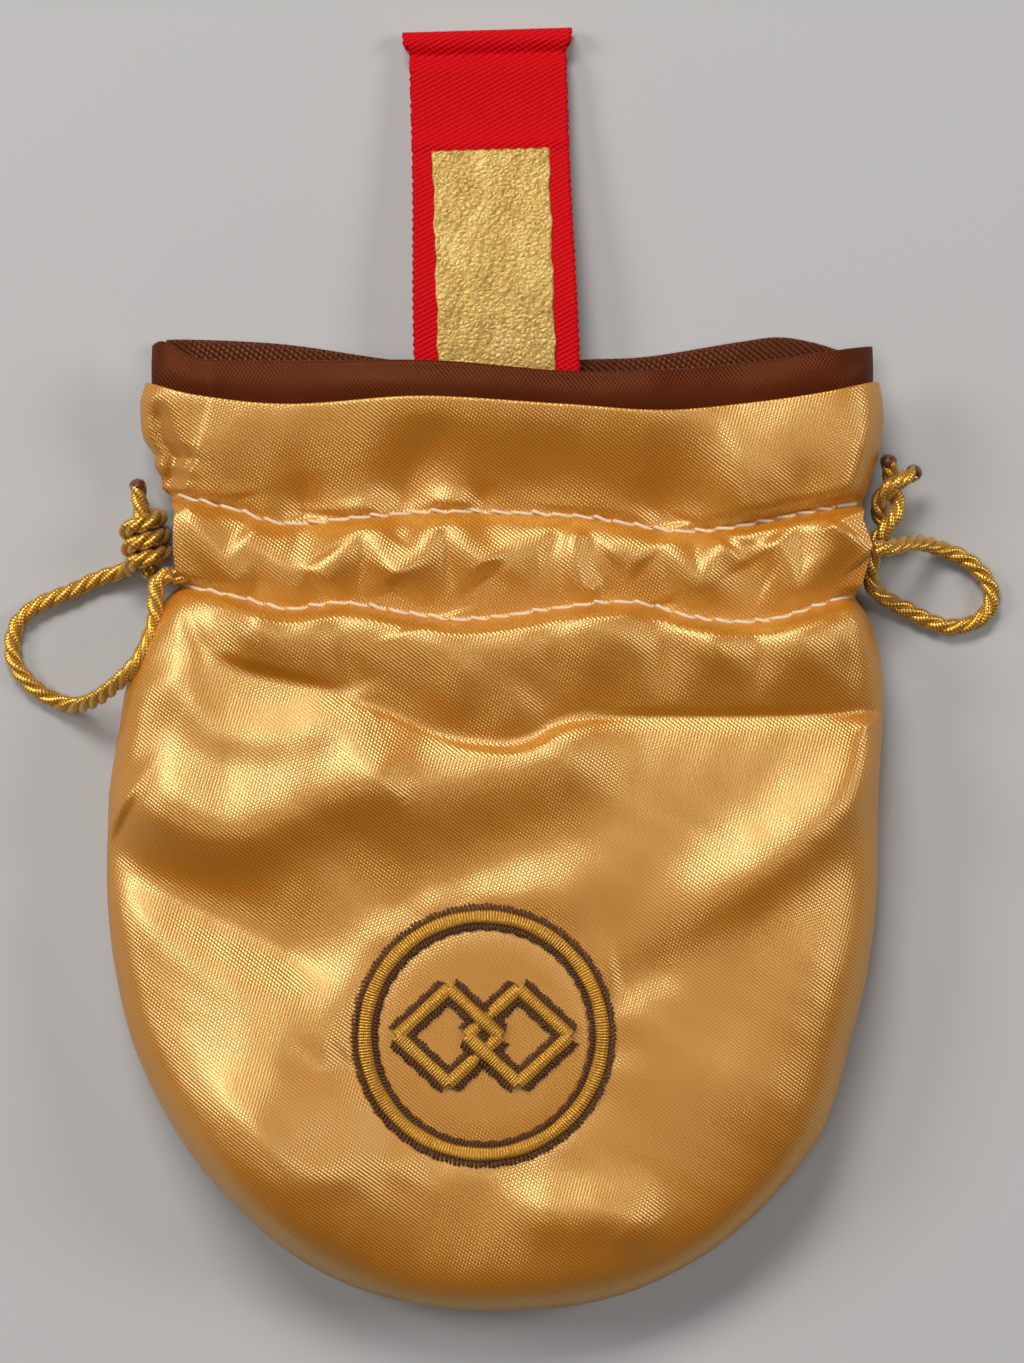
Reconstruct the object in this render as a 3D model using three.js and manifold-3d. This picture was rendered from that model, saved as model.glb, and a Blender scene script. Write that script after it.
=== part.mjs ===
// Satin amulet pouch, lying face up on its back. Millimetres, +Z up, +Y towards the mouth.
// Two satin panels and two lining panels are sewn round a U-shaped seam. Two stitch rows below the mouth
// make a casing, and two drawcords run round it, each leaving at one side as a pull loop with a knot.
// A ribbon loop sewn to a card carries the amulet, and slides out of the mouth.
import * as THREE from "three";
import { mergeVertices } from "three/addons/utils/BufferGeometryUtils.js";
import Module from "manifold-3d";

const wasm = await Module();
wasm.setup();

// Outline of the pouch, seen from the front
const BODY_WIDTH = 99.0; // at the widest place
const WIDEST_Y = -22.0; // height of the widest place
const BOTTOM_DEPTH = 60.4; // from the widest place down to the bottom of the U
const BOTTOM_POWER = 2.25; // 2 is an ellipse, and a larger value is a squarer bottom
const NECK_WIDTH = 87.6; // along both stitch rows
const CASING_WIDTH = 88.6; // halfway between the rows
const FRILL_WIDTH = 94.2; // at the mouth
const LOWER_ROW_Y = 7.6; // height of the lower stitch row
const CASING_HEIGHT = 11.6; // between the stitch rows
const FRONT_FRILL = 14.8; // satin above the upper row, in front
const BACK_FRILL = 17.0; // satin above the upper row, behind
const RIM_STAND = 4.2; // lining that stands above the satin
const BODY_SWAY = -0.4; // sideways place of the body's middle
const NECK_SWAY = 3.5; // sideways place of the neck's middle
const FRILL_SWAY = 2.2; // sideways place of the mouth's middle
const SHOULDER_POWER = 5; // how late the shoulder turns in towards the neck
const SWAY_POWER = 3; // how late the middle line moves across to the neck

// Thickness of the pouch and of its layers
const BODY_THICKNESS = 15.0; // at the middle of the belly
const SHOULDER_Y = -10.0; // below the neck, where the belly has its full thickness
const MOUTH_THICKNESS = 12.6; // at the edge of the front frill
const SEAM_HEIGHT = 5.8; // of the side seam above the table
const SATIN = 0.5;
const LINING = 0.5;
const PLY_GAP = 0.3; // between satin and lining
const MOUTH_GAP = 4.9; // between the linings inside the casing
const SEAM_THREAD = 0.4;
const SEAM_GAP = 0.2; // from the seam thread to each panel
const BACK_FLAT_SHARE = 0.86; // share of the half width that lies flat
const SLIT_EASE = 1.4; // from a stitch row to where the side slit is fully open
const SLIT_RECESS = 6.8; // the lining stops this far short of the satin in the slit

// Folds that the drawn neck throws into the front satin: each has a crest line of [x, y] points, a height
// over the plain panel, and a half width above the line and below it
const NECK_PUFF = {
  crest: [[-33.0, 4.6], [-19.0, 4.4], [-9.6, 3.2], [8.3, 4.0], [26.0, 3.2], [44.0, 5.0]],
  height: 1.8,
  above: 2.4,
  below: 5.0,
};
const NECK_LIP = {
  crest: [[-30.0, 0.5], [-12.2, -4.6], [1.0, -8.3], [8.0, -6.4], [16.0, -4.8], [44.0, -4.6]],
  height: 1.6,
  above: 3.6,
  below: 2.2,
};
const UPPER_SWAG = {
  crest: [[-37.5, -6.5], [-34.2, -8.3], [-20.5, -7.0]],
  height: 1.3,
  above: 2.4,
  below: 2.4,
};
const LOWER_SWAG = {
  crest: [[-50.0, -16.0], [-37.8, -22.4], [-29.0, -21.6], [-16.0, -14.8], [-8.0, -12.6]],
  height: 3.6,
  above: 7.5,
  below: 4.2,
};
const LEFT_SHOULDER = {
  crest: [[-50.6, -25.7], [-39.1, -36.2], [-32.7, -41.3]],
  height: 2.5,
  above: 5.4,
  below: 5.4,
};
const RIGHT_SHOULDER = {
  crest: [[25.0, -32.0], [39.7, -22.4], [49.9, -13.8]],
  height: 3.0,
  above: 6.0,
  below: 6.0,
};
const RING_SWELL = {
  crest: [[3.0, -27.0], [13.5, -25.0], [22.0, -20.0]],
  height: 1.4,
  above: 4.8,
  below: 4.8,
};
const LEFT_BELLY = {
  crest: [[-36.0, -53.0], [-25.3, -63.0], [-18.6, -62.9]],
  height: 1.7,
  above: 4.2,
  below: 4.2,
};
const LOW_BELLY = {
  crest: [[-2.0, -68.2], [16.0, -69.8]],
  height: 1.4,
  above: 3.8,
  below: 3.8,
};
const FOLDS = [
  NECK_PUFF,
  NECK_LIP,
  UPPER_SWAG,
  LOWER_SWAG,
  LEFT_SHOULDER,
  RIGHT_SHOULDER,
  RING_SWELL,
  LEFT_BELLY,
  LOW_BELLY,
];
const ROW_EASE = 2.5; // below the lower stitch row, until the folds have their full height
const RING_EASE = 6.0; // round the embroidered ring, until the folds have their full height
const SEAM_EASE = 0.5; // share of the crown's height, until the folds have their full height

// Drawcords
const CORD = 2.0;
const CORD_CLEAR = 0.3; // round a cord in the casing, and where two cords meet
const CORD_PITCH = 3.4; // from one cord to the other, inside the casing
const CORD_SIDES = 8;
const KNOT_GAP = 0.5; // between the strands of a knot
const KNOT_TURNS = 2.5; // of the loop's end round the other one, in the left knot
const KNOT_LEAN = 8; // degrees that the left knot leans outwards
const TWIST_TURNS = 0.75; // of the right cord's ends round each other
const TAIL = 4.0; // free end past a knot

// Threads and embroidery
const ROW_THREAD = 0.5;
const STITCH = 2.6; // stitch length
const TRIM_GAP = 0.3; // between a thread and the cloth under it
const RING_X = -1.4;
const RING_Y = -46.5;
const RING_RADIUS = 16.6; // outside of the ring
const RING_BAND = 3.2; // width of the ring with its dark edges
const GOLD_BAND = 1.6; // width of a raised gold line
const EDGE_BAND = 3.0; // width of the dark ground under a gold line of the motif
const EDGE_HEIGHT = 0.4;
const GOLD_HEIGHT = 0.7;
const LOZENGE_WIDTH = 13.0; // of each of the two linked lozenges, along its middle line
const LOZENGE_HEIGHT = 12.0;
const LOZENGE_SHIFT = 4.4; // of each lozenge to its side

// Amulet: a ribbon loop sewn over the top of a card
const RIBBON_WIDTH = 20.2;
const RIBBON = 0.4; // thickness
const RIBBON_TOP_Y = 82.4;
const RIBBON_LEAN = 1.7; // degrees
const RIBBON_SHIFT = 0.2; // sideways place at the mouth
const RIBBON_BOTTOM_Y = -12.0;
const FOLD_RADIUS = 0.9; // of the rolled fold at the top
const FOIL_WIDTH = 15.0;
const FOIL_LENGTH = 45.0;
const FOIL_TOP_Y = 66.7;
const FOIL = 0.2;
const CARD_WIDTH = 46.0;
const CARD_TOP_Y = 1.0;
const CARD_BOTTOM_Y = -69.0;
const CARD = 0.8;
const CARD_CORNER = 4.0;
const TACK_THREAD = 0.4;
const TACK_Y = -6.0; // height of the stitching that holds the ribbon to the card

// Places that follow from the sizes above
const UPPER_ROW_Y = LOWER_ROW_Y + CASING_HEIGHT;
const CASING_Y = LOWER_ROW_Y + CASING_HEIGHT / 2;
const FRONT_EDGE_Y = UPPER_ROW_Y + FRONT_FRILL;
const BACK_EDGE_Y = UPPER_ROW_Y + BACK_FRILL;
const TUNNEL = CORD + 2 * CORD_CLEAR;
const BACK_FACE = SATIN + TUNNEL + LINING; // inner face of the back lining inside the casing
const FRONT_FACE = BACK_FACE + MOUTH_GAP; // inner face of the front lining inside the casing
const ROW_TOP = FRONT_FACE + LINING + PLY_GAP + SATIN; // satin at the stitch rows
const CASING_TOP = FRONT_FACE + LINING + TUNNEL + SATIN; // satin over the cords
const FRONT_CORD_Z = FRONT_FACE + LINING + TUNNEL / 2;
const BACK_CORD_Z = SATIN + TUNNEL / 2;
const LEFT_CORD_Y = CASING_Y - CORD_PITCH / 2;
const RIGHT_CORD_Y = CASING_Y + CORD_PITCH / 2;
const SEAM_HALF = SEAM_THREAD / 2 + SEAM_GAP;
const LINING_INSET = SATIN + PLY_GAP;

const GOLD_SATIN = material(0xc98f3f, 0.42);
const BROWN_SATIN = material(0x5a2c18, 0.5);
const CREAM_THREAD = material(0xf0d9b4, 0.6);
const GOLD_THREAD = material(0xc8902a, 0.4);
const BROWN_THREAD = material(0x3b1d10, 0.55);
const GOLD_CORD = material(0xb8821f, 0.4);
const RED_RIBBON = material(0xd0021b, 0.5);
const GOLD_FOIL = material(0xd9b45c, 0.35, 0.6);
const CARD_STOCK = material(0xe9dcc0, 0.8);

const pouch = new THREE.Group();

// Small helpers

function material(color, roughness, metalness = 0) {
  return new THREE.MeshStandardMaterial({ color, roughness, metalness });
}

function mix(a, b, t) {
  return a + (b - a) * t;
}

function smooth(low, high, value) {
  return THREE.MathUtils.smoothstep(value, low, high);
}

// Puts a geometry into the pouch as a named piece.
function piece(name, geometry, finish) {
  const mesh = new THREE.Mesh(geometry, finish);
  mesh.name = name;
  pouch.add(mesh);
  return mesh;
}

// One closed surface: shared points merged, collapsed triangles dropped, faces turned outwards.
function closed(geometry) {
  const plain = geometry.index ? geometry.toNonIndexed() : geometry;
  const bare = new THREE.BufferGeometry().setAttribute("position", plain.getAttribute("position"));
  const merged = mergeVertices(bare, 1e-4);
  const points = merged.getAttribute("position");
  const corner = (i) => new THREE.Vector3().fromBufferAttribute(points, i);
  const faces = [];
  let volume = 0;
  for (let i = 0; i < merged.index.count; i += 3) {
    const [a, b, c] = [0, 1, 2].map((k) => merged.index.getX(i + k));
    if (a === b || b === c || a === c) continue;
    faces.push([a, b, c]);
    volume += corner(a).dot(corner(b).cross(corner(c)));
  }
  merged.setIndex(faces.flatMap(([a, b, c]) => (volume < 0 ? [a, c, b] : [a, b, c])));
  merged.computeVertexNormals();
  return merged;
}

function solid(geometry) {
  const shape = closed(geometry);
  return new wasm.Manifold(
    new wasm.Mesh({
      numProp: 3,
      vertProperties: new Float32Array(shape.getAttribute("position").array),
      triVerts: new Uint32Array(shape.index.array),
    }),
  );
}

function geometryOf(made) {
  const mesh = made.getMesh();
  const geometry = new THREE.BufferGeometry();
  geometry.setAttribute("position", new THREE.BufferAttribute(mesh.vertProperties, 3));
  return geometry.setIndex(new THREE.BufferAttribute(mesh.triVerts, 1));
}

// A skin between two grids of points of the same size, closed along all four sides.
function shell(outer, inner) {
  const rows = outer.length;
  const columns = outer[0].length;
  const corners = [];
  const quad = (a, b, c, d) => corners.push(a, b, c, a, c, d);
  for (let i = 0; i + 1 < rows; i++) {
    for (let k = 0; k + 1 < columns; k++) {
      quad(outer[i][k], outer[i + 1][k], outer[i + 1][k + 1], outer[i][k + 1]);
      quad(inner[i][k], inner[i][k + 1], inner[i + 1][k + 1], inner[i + 1][k]);
    }
    quad(outer[i][0], inner[i][0], inner[i + 1][0], outer[i + 1][0]);
    const last = columns - 1;
    quad(outer[i][last], outer[i + 1][last], inner[i + 1][last], inner[i][last]);
  }
  for (let k = 0; k + 1 < columns; k++) {
    const end = rows - 1;
    quad(outer[end][k], inner[end][k], inner[end][k + 1], outer[end][k + 1]);
  }
  return closed(new THREE.BufferGeometry().setFromPoints(corners));
}

function circle(radius, sides) {
  const turn = (2 * Math.PI) / sides;
  const points = Array.from({ length: sides }, (_, i) => [(i + 0.5) * turn]);
  return new THREE.Shape(
    points.map(([a]) => new THREE.Vector2(radius * Math.cos(a), radius * Math.sin(a))),
  );
}

function tube(curve, diameter, steps, sides = CORD_SIDES) {
  const options = { steps, extrudePath: curve, bevelEnabled: false };
  return closed(new THREE.ExtrudeGeometry(circle(diameter / 2, sides), options));
}

function route(points) {
  return new THREE.CatmullRomCurve3(points, false, "centripetal");
}

function through(points) {
  return route(points.map((p) => new THREE.Vector3(...p)));
}

// The two stretches of a route on either side of one of its points, with a gap between them.
function split(points, at, gap) {
  const fine = 2000;
  const whole = route(points);
  const lengths = whole.getLengths(fine);
  const cut = lengths[Math.round((at / (points.length - 1)) * fine)];
  const stretch = (from, to) =>
    route(Array.from({ length: 81 }, (_, i) => whole.getPointAt(mix(from, to, i / 80) / lengths[fine])));
  return [stretch(0, cut - gap / 2), stretch(cut + gap / 2, lengths[fine])];
}

// The pouch's surfaces

function halfWidth(y) {
  if (y <= LOWER_ROW_Y) {
    const t = Math.max(0, (y - WIDEST_Y) / (LOWER_ROW_Y - WIDEST_Y));
    return mix(BODY_WIDTH, NECK_WIDTH, t ** SHOULDER_POWER) / 2;
  }
  if (y <= UPPER_ROW_Y) {
    const t = (y - LOWER_ROW_Y) / CASING_HEIGHT;
    return mix(NECK_WIDTH, CASING_WIDTH, Math.sin(Math.PI * t)) / 2;
  }
  return mix(NECK_WIDTH, FRILL_WIDTH, smooth(UPPER_ROW_Y, FRONT_EDGE_Y, y)) / 2;
}

function sway(y) {
  const rise = THREE.MathUtils.clamp((y - WIDEST_Y) / (LOWER_ROW_Y - WIDEST_Y), 0, 1);
  const neck = mix(BODY_SWAY, NECK_SWAY, rise ** SWAY_POWER);
  return mix(neck, FRILL_SWAY, smooth(UPPER_ROW_Y, FRONT_EDGE_Y, y));
}

// 1 where the casing is open at the sides and its tunnel is at full height, 0 outside the casing.
function casing(y) {
  const rise = smooth(LOWER_ROW_Y, LOWER_ROW_Y + SLIT_EASE, y);
  return rise * (1 - smooth(UPPER_ROW_Y - SLIT_EASE, UPPER_ROW_Y, y));
}

// Top of the front satin along the middle of the pouch.
function satinTop(y) {
  const fall = THREE.MathUtils.clamp((y - SHOULDER_Y) / (LOWER_ROW_Y - SHOULDER_Y), 0, 1);
  const body = mix(ROW_TOP, BODY_THICKNESS, Math.sqrt(1 - fall * fall));
  const frill = mix(body, MOUTH_THICKNESS, smooth(UPPER_ROW_Y, FRONT_EDGE_Y, y));
  return mix(frill, CASING_TOP, casing(y));
}

// Top of the front lining: it stays level under the casing, where the satin rises over the cords.
function liningTop(y) {
  return mix(satinTop(y) - LINING_INSET, FRONT_FACE + LINING, casing(y));
}

// How far out a point lies: 0 on the middle line, 1 on the seam.
function outness(x, y) {
  const across = Math.abs(x - sway(Math.max(y, WIDEST_Y))) / halfWidth(y);
  const down = Math.max(0, WIDEST_Y - y) / BOTTOM_DEPTH;
  return Math.min(1, (across ** BOTTOM_POWER + down ** BOTTOM_POWER) ** (1 / BOTTOM_POWER));
}

function dome(out, y) {
  return mix(Math.sqrt(Math.max(0, 1 - out ** 4)), 1, casing(y));
}

function frontHeight(x, y) {
  const foot = SEAM_HEIGHT + SEAM_HALF;
  return mix(foot, satinTop(Math.max(y, WIDEST_Y)), dome(outness(x, y), y));
}

// Rise of a back layer from the table to the seam.
function backRise(out, y) {
  const t = THREE.MathUtils.clamp((out - BACK_FLAT_SHARE) / (1 - BACK_FLAT_SHARE), 0, 1);
  return (1 - Math.sqrt(1 - t * t)) * (1 - casing(y));
}

// The part of a crest line that is nearest to a point: how far away, and whether the point lies above it.
function nearestCrest(crest, x, y) {
  const point = new THREE.Vector3(x, y, 0);
  const foot = new THREE.Vector3();
  const ends = crest.map(([a, b]) => new THREE.Vector3(a, b, 0));
  const found = ends.slice(1).map((end, i) => {
    const start = ends[i];
    new THREE.Line3(start, end).closestPointToPoint(point, true, foot);
    const turn = (end.x - start.x) * (y - start.y) - (end.y - start.y) * (x - start.x);
    return { gap: foot.distanceTo(point), over: turn > 0 };
  });
  return found.reduce((best, next) => (next.gap < best.gap ? next : best));
}

// Height that the folds add to the front satin: none at the seam, the stitch rows or the embroidery.
function foldHeight(x, y) {
  const lift = ({ crest, height, above, below }) => {
    const { gap, over } = nearestCrest(crest, x, y);
    return height * Math.exp(-((gap / (over ? above : below)) ** 2));
  };
  const fromRow = smooth(0, ROW_EASE, LOWER_ROW_Y - y);
  const fromRing = smooth(0, RING_EASE, Math.hypot(x - RING_X, y - RING_Y) - RING_RADIUS - SATIN);
  const fromSeam = smooth(0, SEAM_EASE, dome(outness(x, y), y));
  const sum = FOLDS.reduce((total, fold) => total + lift(fold), 0);
  return sum * fromRow * fromRing * fromSeam;
}

// How finely a layer is divided: shares of the way out, shares of the body's height, and steps round the U
const arches = (count) => Array.from({ length: count + 1 }, (_, i) => Math.sin((i / count) * (Math.PI / 2)));
const BACK_CURL = [0.5, 0.87, 1].map((t) => mix(BACK_FLAT_SHARE, 1, t));
const BACK_RINGS = [0, 0.45, BACK_FLAT_SHARE, ...BACK_CURL];
const PLAIN_BODY = [0, 0.4, 0.68, 0.86];
const FOLDED_BODY = [0, 0.15, 0.3, 0.45, 0.6, 0.73, 0.86];
const FOLDED = { rings: arches(11), body: FOLDED_BODY, bottom: 20 };
const PLAIN = { rings: arches(7), body: PLAIN_BODY, bottom: 14 };
const FLAT = { rings: BACK_RINGS, body: PLAIN_BODY, bottom: 14 };
const FRILL_STEPS = [0.34, 0.67, 1];

// Heights at which a layer has cross-sections, from the widest place up to an edge.
function sections(edge, bodySteps) {
  const body = bodySteps.map((t) => mix(WIDEST_Y, LOWER_ROW_Y, t));
  const rows = [LOWER_ROW_Y, UPPER_ROW_Y - SLIT_EASE];
  const open = rows.flatMap((y) => [y, y + SLIT_EASE]);
  return [...body, ...open, ...FRILL_STEPS.map((t) => mix(UPPER_ROW_Y, edge, t))];
}

// One ring of points round the U, from the left end of the mouth to the right end.
// place gives { half, depth, z } for a share of the way out and a height.
function ring(out, heights, bottomSteps, place) {
  const side = (sign) => (y) => {
    const { half, z } = place(out, y);
    return new THREE.Vector3(sway(y) + sign * out * half, y, z);
  };
  const bottom = Array.from({ length: bottomSteps - 1 }, (_, i) => {
    const angle = Math.PI * (1 + (i + 1) / bottomSteps);
    const { half, depth, z } = place(out, WIDEST_Y);
    const arm = (v) => Math.sign(v) * Math.abs(v) ** (2 / BOTTOM_POWER);
    const x = sway(WIDEST_Y) + out * half * arm(Math.cos(angle));
    return new THREE.Vector3(x, WIDEST_Y + out * depth * arm(Math.sin(angle)), z);
  });
  return [...[...heights].reverse().map(side(-1)), ...bottom, ...heights.map(side(1))];
}

function sheet(edge, { rings, body, bottom }, face) {
  return rings.map((out) => ring(out, sections(edge, body), bottom, face));
}

function folded(grid) {
  return grid.map((row) => row.map((p) => new THREE.Vector3(p.x, p.y, p.z + foldHeight(p.x, p.y))));
}

// A face of a front layer. inset is its depth below the satin's outside, and top its middle line.
function frontFace(inset, top, recess = 0) {
  return (out, y) => ({
    half: halfWidth(y) - inset - recess * casing(y),
    depth: BOTTOM_DEPTH - inset,
    z: mix(SEAM_HEIGHT + SEAM_HALF, top(y), dome(out, y)),
  });
}

// A face of a back layer. base is its height above the table.
function backFace(inset, base, recess = 0) {
  return (out, y) => ({
    half: halfWidth(y) - inset - recess * casing(y),
    depth: BOTTOM_DEPTH - inset,
    z: mix(base(y), SEAM_HEIGHT - SEAM_HALF, backRise(out, y)),
  });
}

// Panels

function panels() {
  const front = (inset, top, recess) => [PLAIN, frontFace(inset, top, recess)];
  const back = (inset, base, recess) => [FLAT, backFace(inset, base, recess)];
  const skin = (edge, outer, inner) => shell(sheet(edge, ...outer), sheet(edge, ...inner));

  const satinUnder = (y) => satinTop(y) - SATIN;
  const satin = (inset, top) => folded(sheet(FRONT_EDGE_Y, FOLDED, frontFace(inset, top)));
  piece("front_panel", shell(satin(0, satinTop), satin(SATIN, satinUnder)), GOLD_SATIN);
  piece("back_panel", skin(BACK_EDGE_Y, back(0, () => 0), back(SATIN, () => SATIN)), GOLD_SATIN);

  const deep = LINING_INSET + LINING;
  const liningUnder = (y) => liningTop(y) - LINING;
  const frontLining = [front(LINING_INSET, liningTop, SLIT_RECESS), front(deep, liningUnder, SLIT_RECESS)];
  piece("front_lining", skin(FRONT_EDGE_Y + RIM_STAND, ...frontLining), BROWN_SATIN);

  const liningBase = (y) => mix(LINING_INSET, SATIN + TUNNEL, casing(y));
  const liningFace = (y) => liningBase(y) + LINING;
  const backLining = [back(LINING_INSET, liningBase, SLIT_RECESS), back(deep, liningFace, SLIT_RECESS)];
  piece("back_lining", skin(BACK_EDGE_Y + RIM_STAND, ...backLining), BROWN_SATIN);
}

// The thread of the U-shaped seam lies between the edges of the two satin panels, below the casing.
function seamThread() {
  const reach = SATIN / 2;
  const level = (out, y) => ({
    half: halfWidth(y) - reach,
    depth: BOTTOM_DEPTH - reach,
    z: SEAM_HEIGHT,
  });
  const heights = PLAIN.body.map((t) => mix(WIDEST_Y, LOWER_ROW_Y, t));
  const route = new THREE.CatmullRomCurve3(ring(1, heights, PLAIN.bottom, level), false, "centripetal");
  piece("side_seam_thread", tube(route, SEAM_THREAD, 48, 4), CREAM_THREAD);
}

// Stitch rows: each thread runs on top of the cloth and dips at the end of every stitch.
function stitchRow(name, y, level) {
  const reach = halfWidth(y) * BACK_FLAT_SHARE;
  const count = Math.round((2 * reach) / STITCH);
  const lift = TRIM_GAP + ROW_THREAD / 2;
  const points = [];
  for (let i = 0; i <= 2 * count; i++) {
    const x = sway(y) + mix(-reach, reach, i / (2 * count));
    const crest = i % 2 ? ROW_THREAD / 4 : 0;
    points.push([x, y, level(x, y, lift + crest)]);
  }
  piece(name, tube(through(points), ROW_THREAD, 2 * count, 4), CREAM_THREAD);
}

function stitching() {
  const onFront = (x, y, lift) => frontHeight(x, y) + lift;
  const underBack = (x, y, lift) => LINING_INSET + LINING + lift;
  stitchRow("front_lower_stitch", LOWER_ROW_Y, onFront);
  stitchRow("front_upper_stitch", UPPER_ROW_Y, onFront);
  stitchRow("back_lower_stitch", LOWER_ROW_Y, underBack);
  stitchRow("back_upper_stitch", UPPER_ROW_Y, underBack);
}

// Embroidery: each flat shape is laid on the front panel, following its crown.
function laidOnFront(geometry, lift) {
  const laid = closed(geometry.translate(RING_X, RING_Y, 0));
  const points = laid.getAttribute("position");
  for (let i = 0; i < points.count; i++) {
    const height = frontHeight(points.getX(i), points.getY(i));
    points.setZ(i, points.getZ(i) + height + lift);
  }
  return laid;
}

// A ring of satin stitch with a rounded top.
function stitchedRing(middle, band, height) {
  const profile = [
    [-band / 2, 0],
    [band / 2, 0],
    [band / 2, height / 2],
    [band / 4, height],
    [-band / 4, height],
    [-band / 2, height / 2],
    [-band / 2, 0],
  ];
  const turned = new THREE.LatheGeometry(
    profile.map(([r, z]) => new THREE.Vector2(middle + r, z)),
    48,
  );
  return turned.rotateX(Math.PI / 2);
}

// The outline of a lozenge whose middle line is width by height, moved out by edge.
function lozenge(width, height, edge) {
  const slant = Math.hypot(width, height);
  const grow = edge * slant;
  const [a, b] = [width / 2 + grow / height, height / 2 + grow / width];
  return [[a, 0], [0, b], [-a, 0], [0, -b]].map(([x, y]) => new THREE.Vector2(x, y));
}

function lozengeFrame(shift, band, height) {
  const shape = new THREE.Shape(lozenge(LOZENGE_WIDTH, LOZENGE_HEIGHT, band / 2));
  shape.holes.push(new THREE.Path(lozenge(LOZENGE_WIDTH, LOZENGE_HEIGHT, -band / 2)));
  const frame = new THREE.ExtrudeGeometry(shape, { depth: height, bevelEnabled: false });
  return solid(frame.translate(shift, 0, 0));
}

function embroidery() {
  const middle = RING_RADIUS - RING_BAND / 2;
  const goldLift = TRIM_GAP + EDGE_HEIGHT + TRIM_GAP;
  const linked = (band, height) =>
    geometryOf(
      lozengeFrame(-LOZENGE_SHIFT, band, height).add(lozengeFrame(LOZENGE_SHIFT, band, height)),
    );
  piece("ring_edge", laidOnFront(stitchedRing(middle, RING_BAND, EDGE_HEIGHT), TRIM_GAP), BROWN_THREAD);
  piece("ring_gold", laidOnFront(stitchedRing(middle, GOLD_BAND, GOLD_HEIGHT), goldLift), GOLD_THREAD);
  piece("motif_edge", laidOnFront(linked(EDGE_BAND, EDGE_HEIGHT), TRIM_GAP), BROWN_THREAD);
  piece("motif_gold", laidOnFront(linked(GOLD_BAND, GOLD_HEIGHT), goldLift), GOLD_THREAD);
}

// Drawcords. A cord runs in from its own side through the front of the casing, turns back round the end
// of the lining at the far side, and comes out again through the back of the casing.
class HalfTurn extends THREE.Curve {
  constructor(x, y, z, radius, side) {
    super();
    Object.assign(this, { x, y, z, radius, side });
  }
  getPoint(t, target = new THREE.Vector3()) {
    const angle = Math.PI * t;
    const x = this.x + this.side * this.radius * Math.sin(angle);
    return target.set(x, this.y, this.z + this.radius * Math.cos(angle));
  }
}

function cordRun(name, side, y) {
  const mouth = slitEdge(side, y);
  const turn = slitEdge(-side, y) + side * (SLIT_RECESS - CORD_CLEAR);
  const radius = (FRONT_CORD_Z - BACK_CORD_Z) / 2;
  const level = (FRONT_CORD_Z + BACK_CORD_Z) / 2;
  const at = (x, z) => new THREE.Vector3(x, y, z);
  const route = new THREE.CurvePath();
  route.add(new THREE.LineCurve3(at(mouth, FRONT_CORD_Z), at(turn, FRONT_CORD_Z)));
  route.add(new HalfTurn(turn, y, level, radius, -side));
  route.add(new THREE.LineCurve3(at(turn, BACK_CORD_Z), at(mouth, BACK_CORD_Z)));
  piece(name, tube(route, CORD, 64), GOLD_CORD);
}

// Sideways place of a side slit's edge.
function slitEdge(side, y) {
  return sway(y) + side * halfWidth(y);
}

// Left cord: its loop lies over the shoulder and on the table. One end goes straight up as a tail, and the
// end of the loop is wound round it as a barrel knot.
function leftCord() {
  const edge = slitEdge(-1, LEFT_CORD_Y);
  const wind = CORD + KNOT_GAP;
  const outside = wind + CORD / 2;
  const start = new THREE.Vector3(edge - CORD_CLEAR - outside, CASING_Y, outside + CORD_CLEAR);
  const lean = new THREE.Matrix4().makeRotationZ(THREE.MathUtils.degToRad(KNOT_LEAN));
  const place = (x, along, z) => new THREE.Vector3(x, along, z).applyMatrix4(lean).add(start);
  const length = KNOT_TURNS * wind;
  const wound = Array.from({ length: 51 }, (_, i) => {
    const angle = Math.PI - (2 * Math.PI * KNOT_TURNS * i) / 50;
    return place(wind * Math.cos(angle), (length * i) / 50, wind * Math.sin(angle));
  });

  const exit = new THREE.Vector3(edge - CORD_CLEAR, LEFT_CORD_Y, BACK_CORD_Z);
  const ahead = exit.clone().add(new THREE.Vector3(-0.4 * CORD, 0, 0));
  const core = [-0.6 * CORD, 0, length / 2, length, length + TAIL].map((along) => place(0, along, 0));
  piece("left_knot_back_end", tube(route([exit, ahead, ...core]), CORD, 24), GOLD_CORD);

  const loop = [
    [edge - CORD_CLEAR, LEFT_CORD_Y, FRONT_CORD_Z],
    [edge - CORD_CLEAR - 0.4 * CORD, LEFT_CORD_Y, FRONT_CORD_Z],
    [-42.9, 10.8, 10.4],
    [-43.2, 8.8, 10.4],
    [-43.3, 6.0, 10.5],
    [-44.2, 3.1, 10.8],
    [-45.7, 0.4, 10.8],
    [-48.1, -1.9, 9.2],
    [-51.0, -3.9, 6.0],
    [-53.8, -4.8, 2.8],
    [-56.5, -4.4, 1.1],
    [-59.7, -2.5, 1.1],
    [-62.0, 0.4, 1.1],
    [-62.4, 3.6, 1.1],
    [-61.3, 6.3, 1.1],
    [-58.6, 8.3, 1.1],
    [-54.9, 9.8, 1.1],
    [-51.5, 11.4, 1.1],
  ].map((p) => new THREE.Vector3(...p));
  const lead = place(-wind - 0.5 * CORD, -0.2 * CORD, -0.9 * CORD);
  const [free, tied] = split([...loop, lead, ...wound], loop.length, CORD_CLEAR);
  piece("left_cord_loop", tube(free, CORD, 36), GOLD_CORD);
  piece("left_knot_loop_end", tube(tied, CORD, 60, 6), GOLD_CORD);
}

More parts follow.
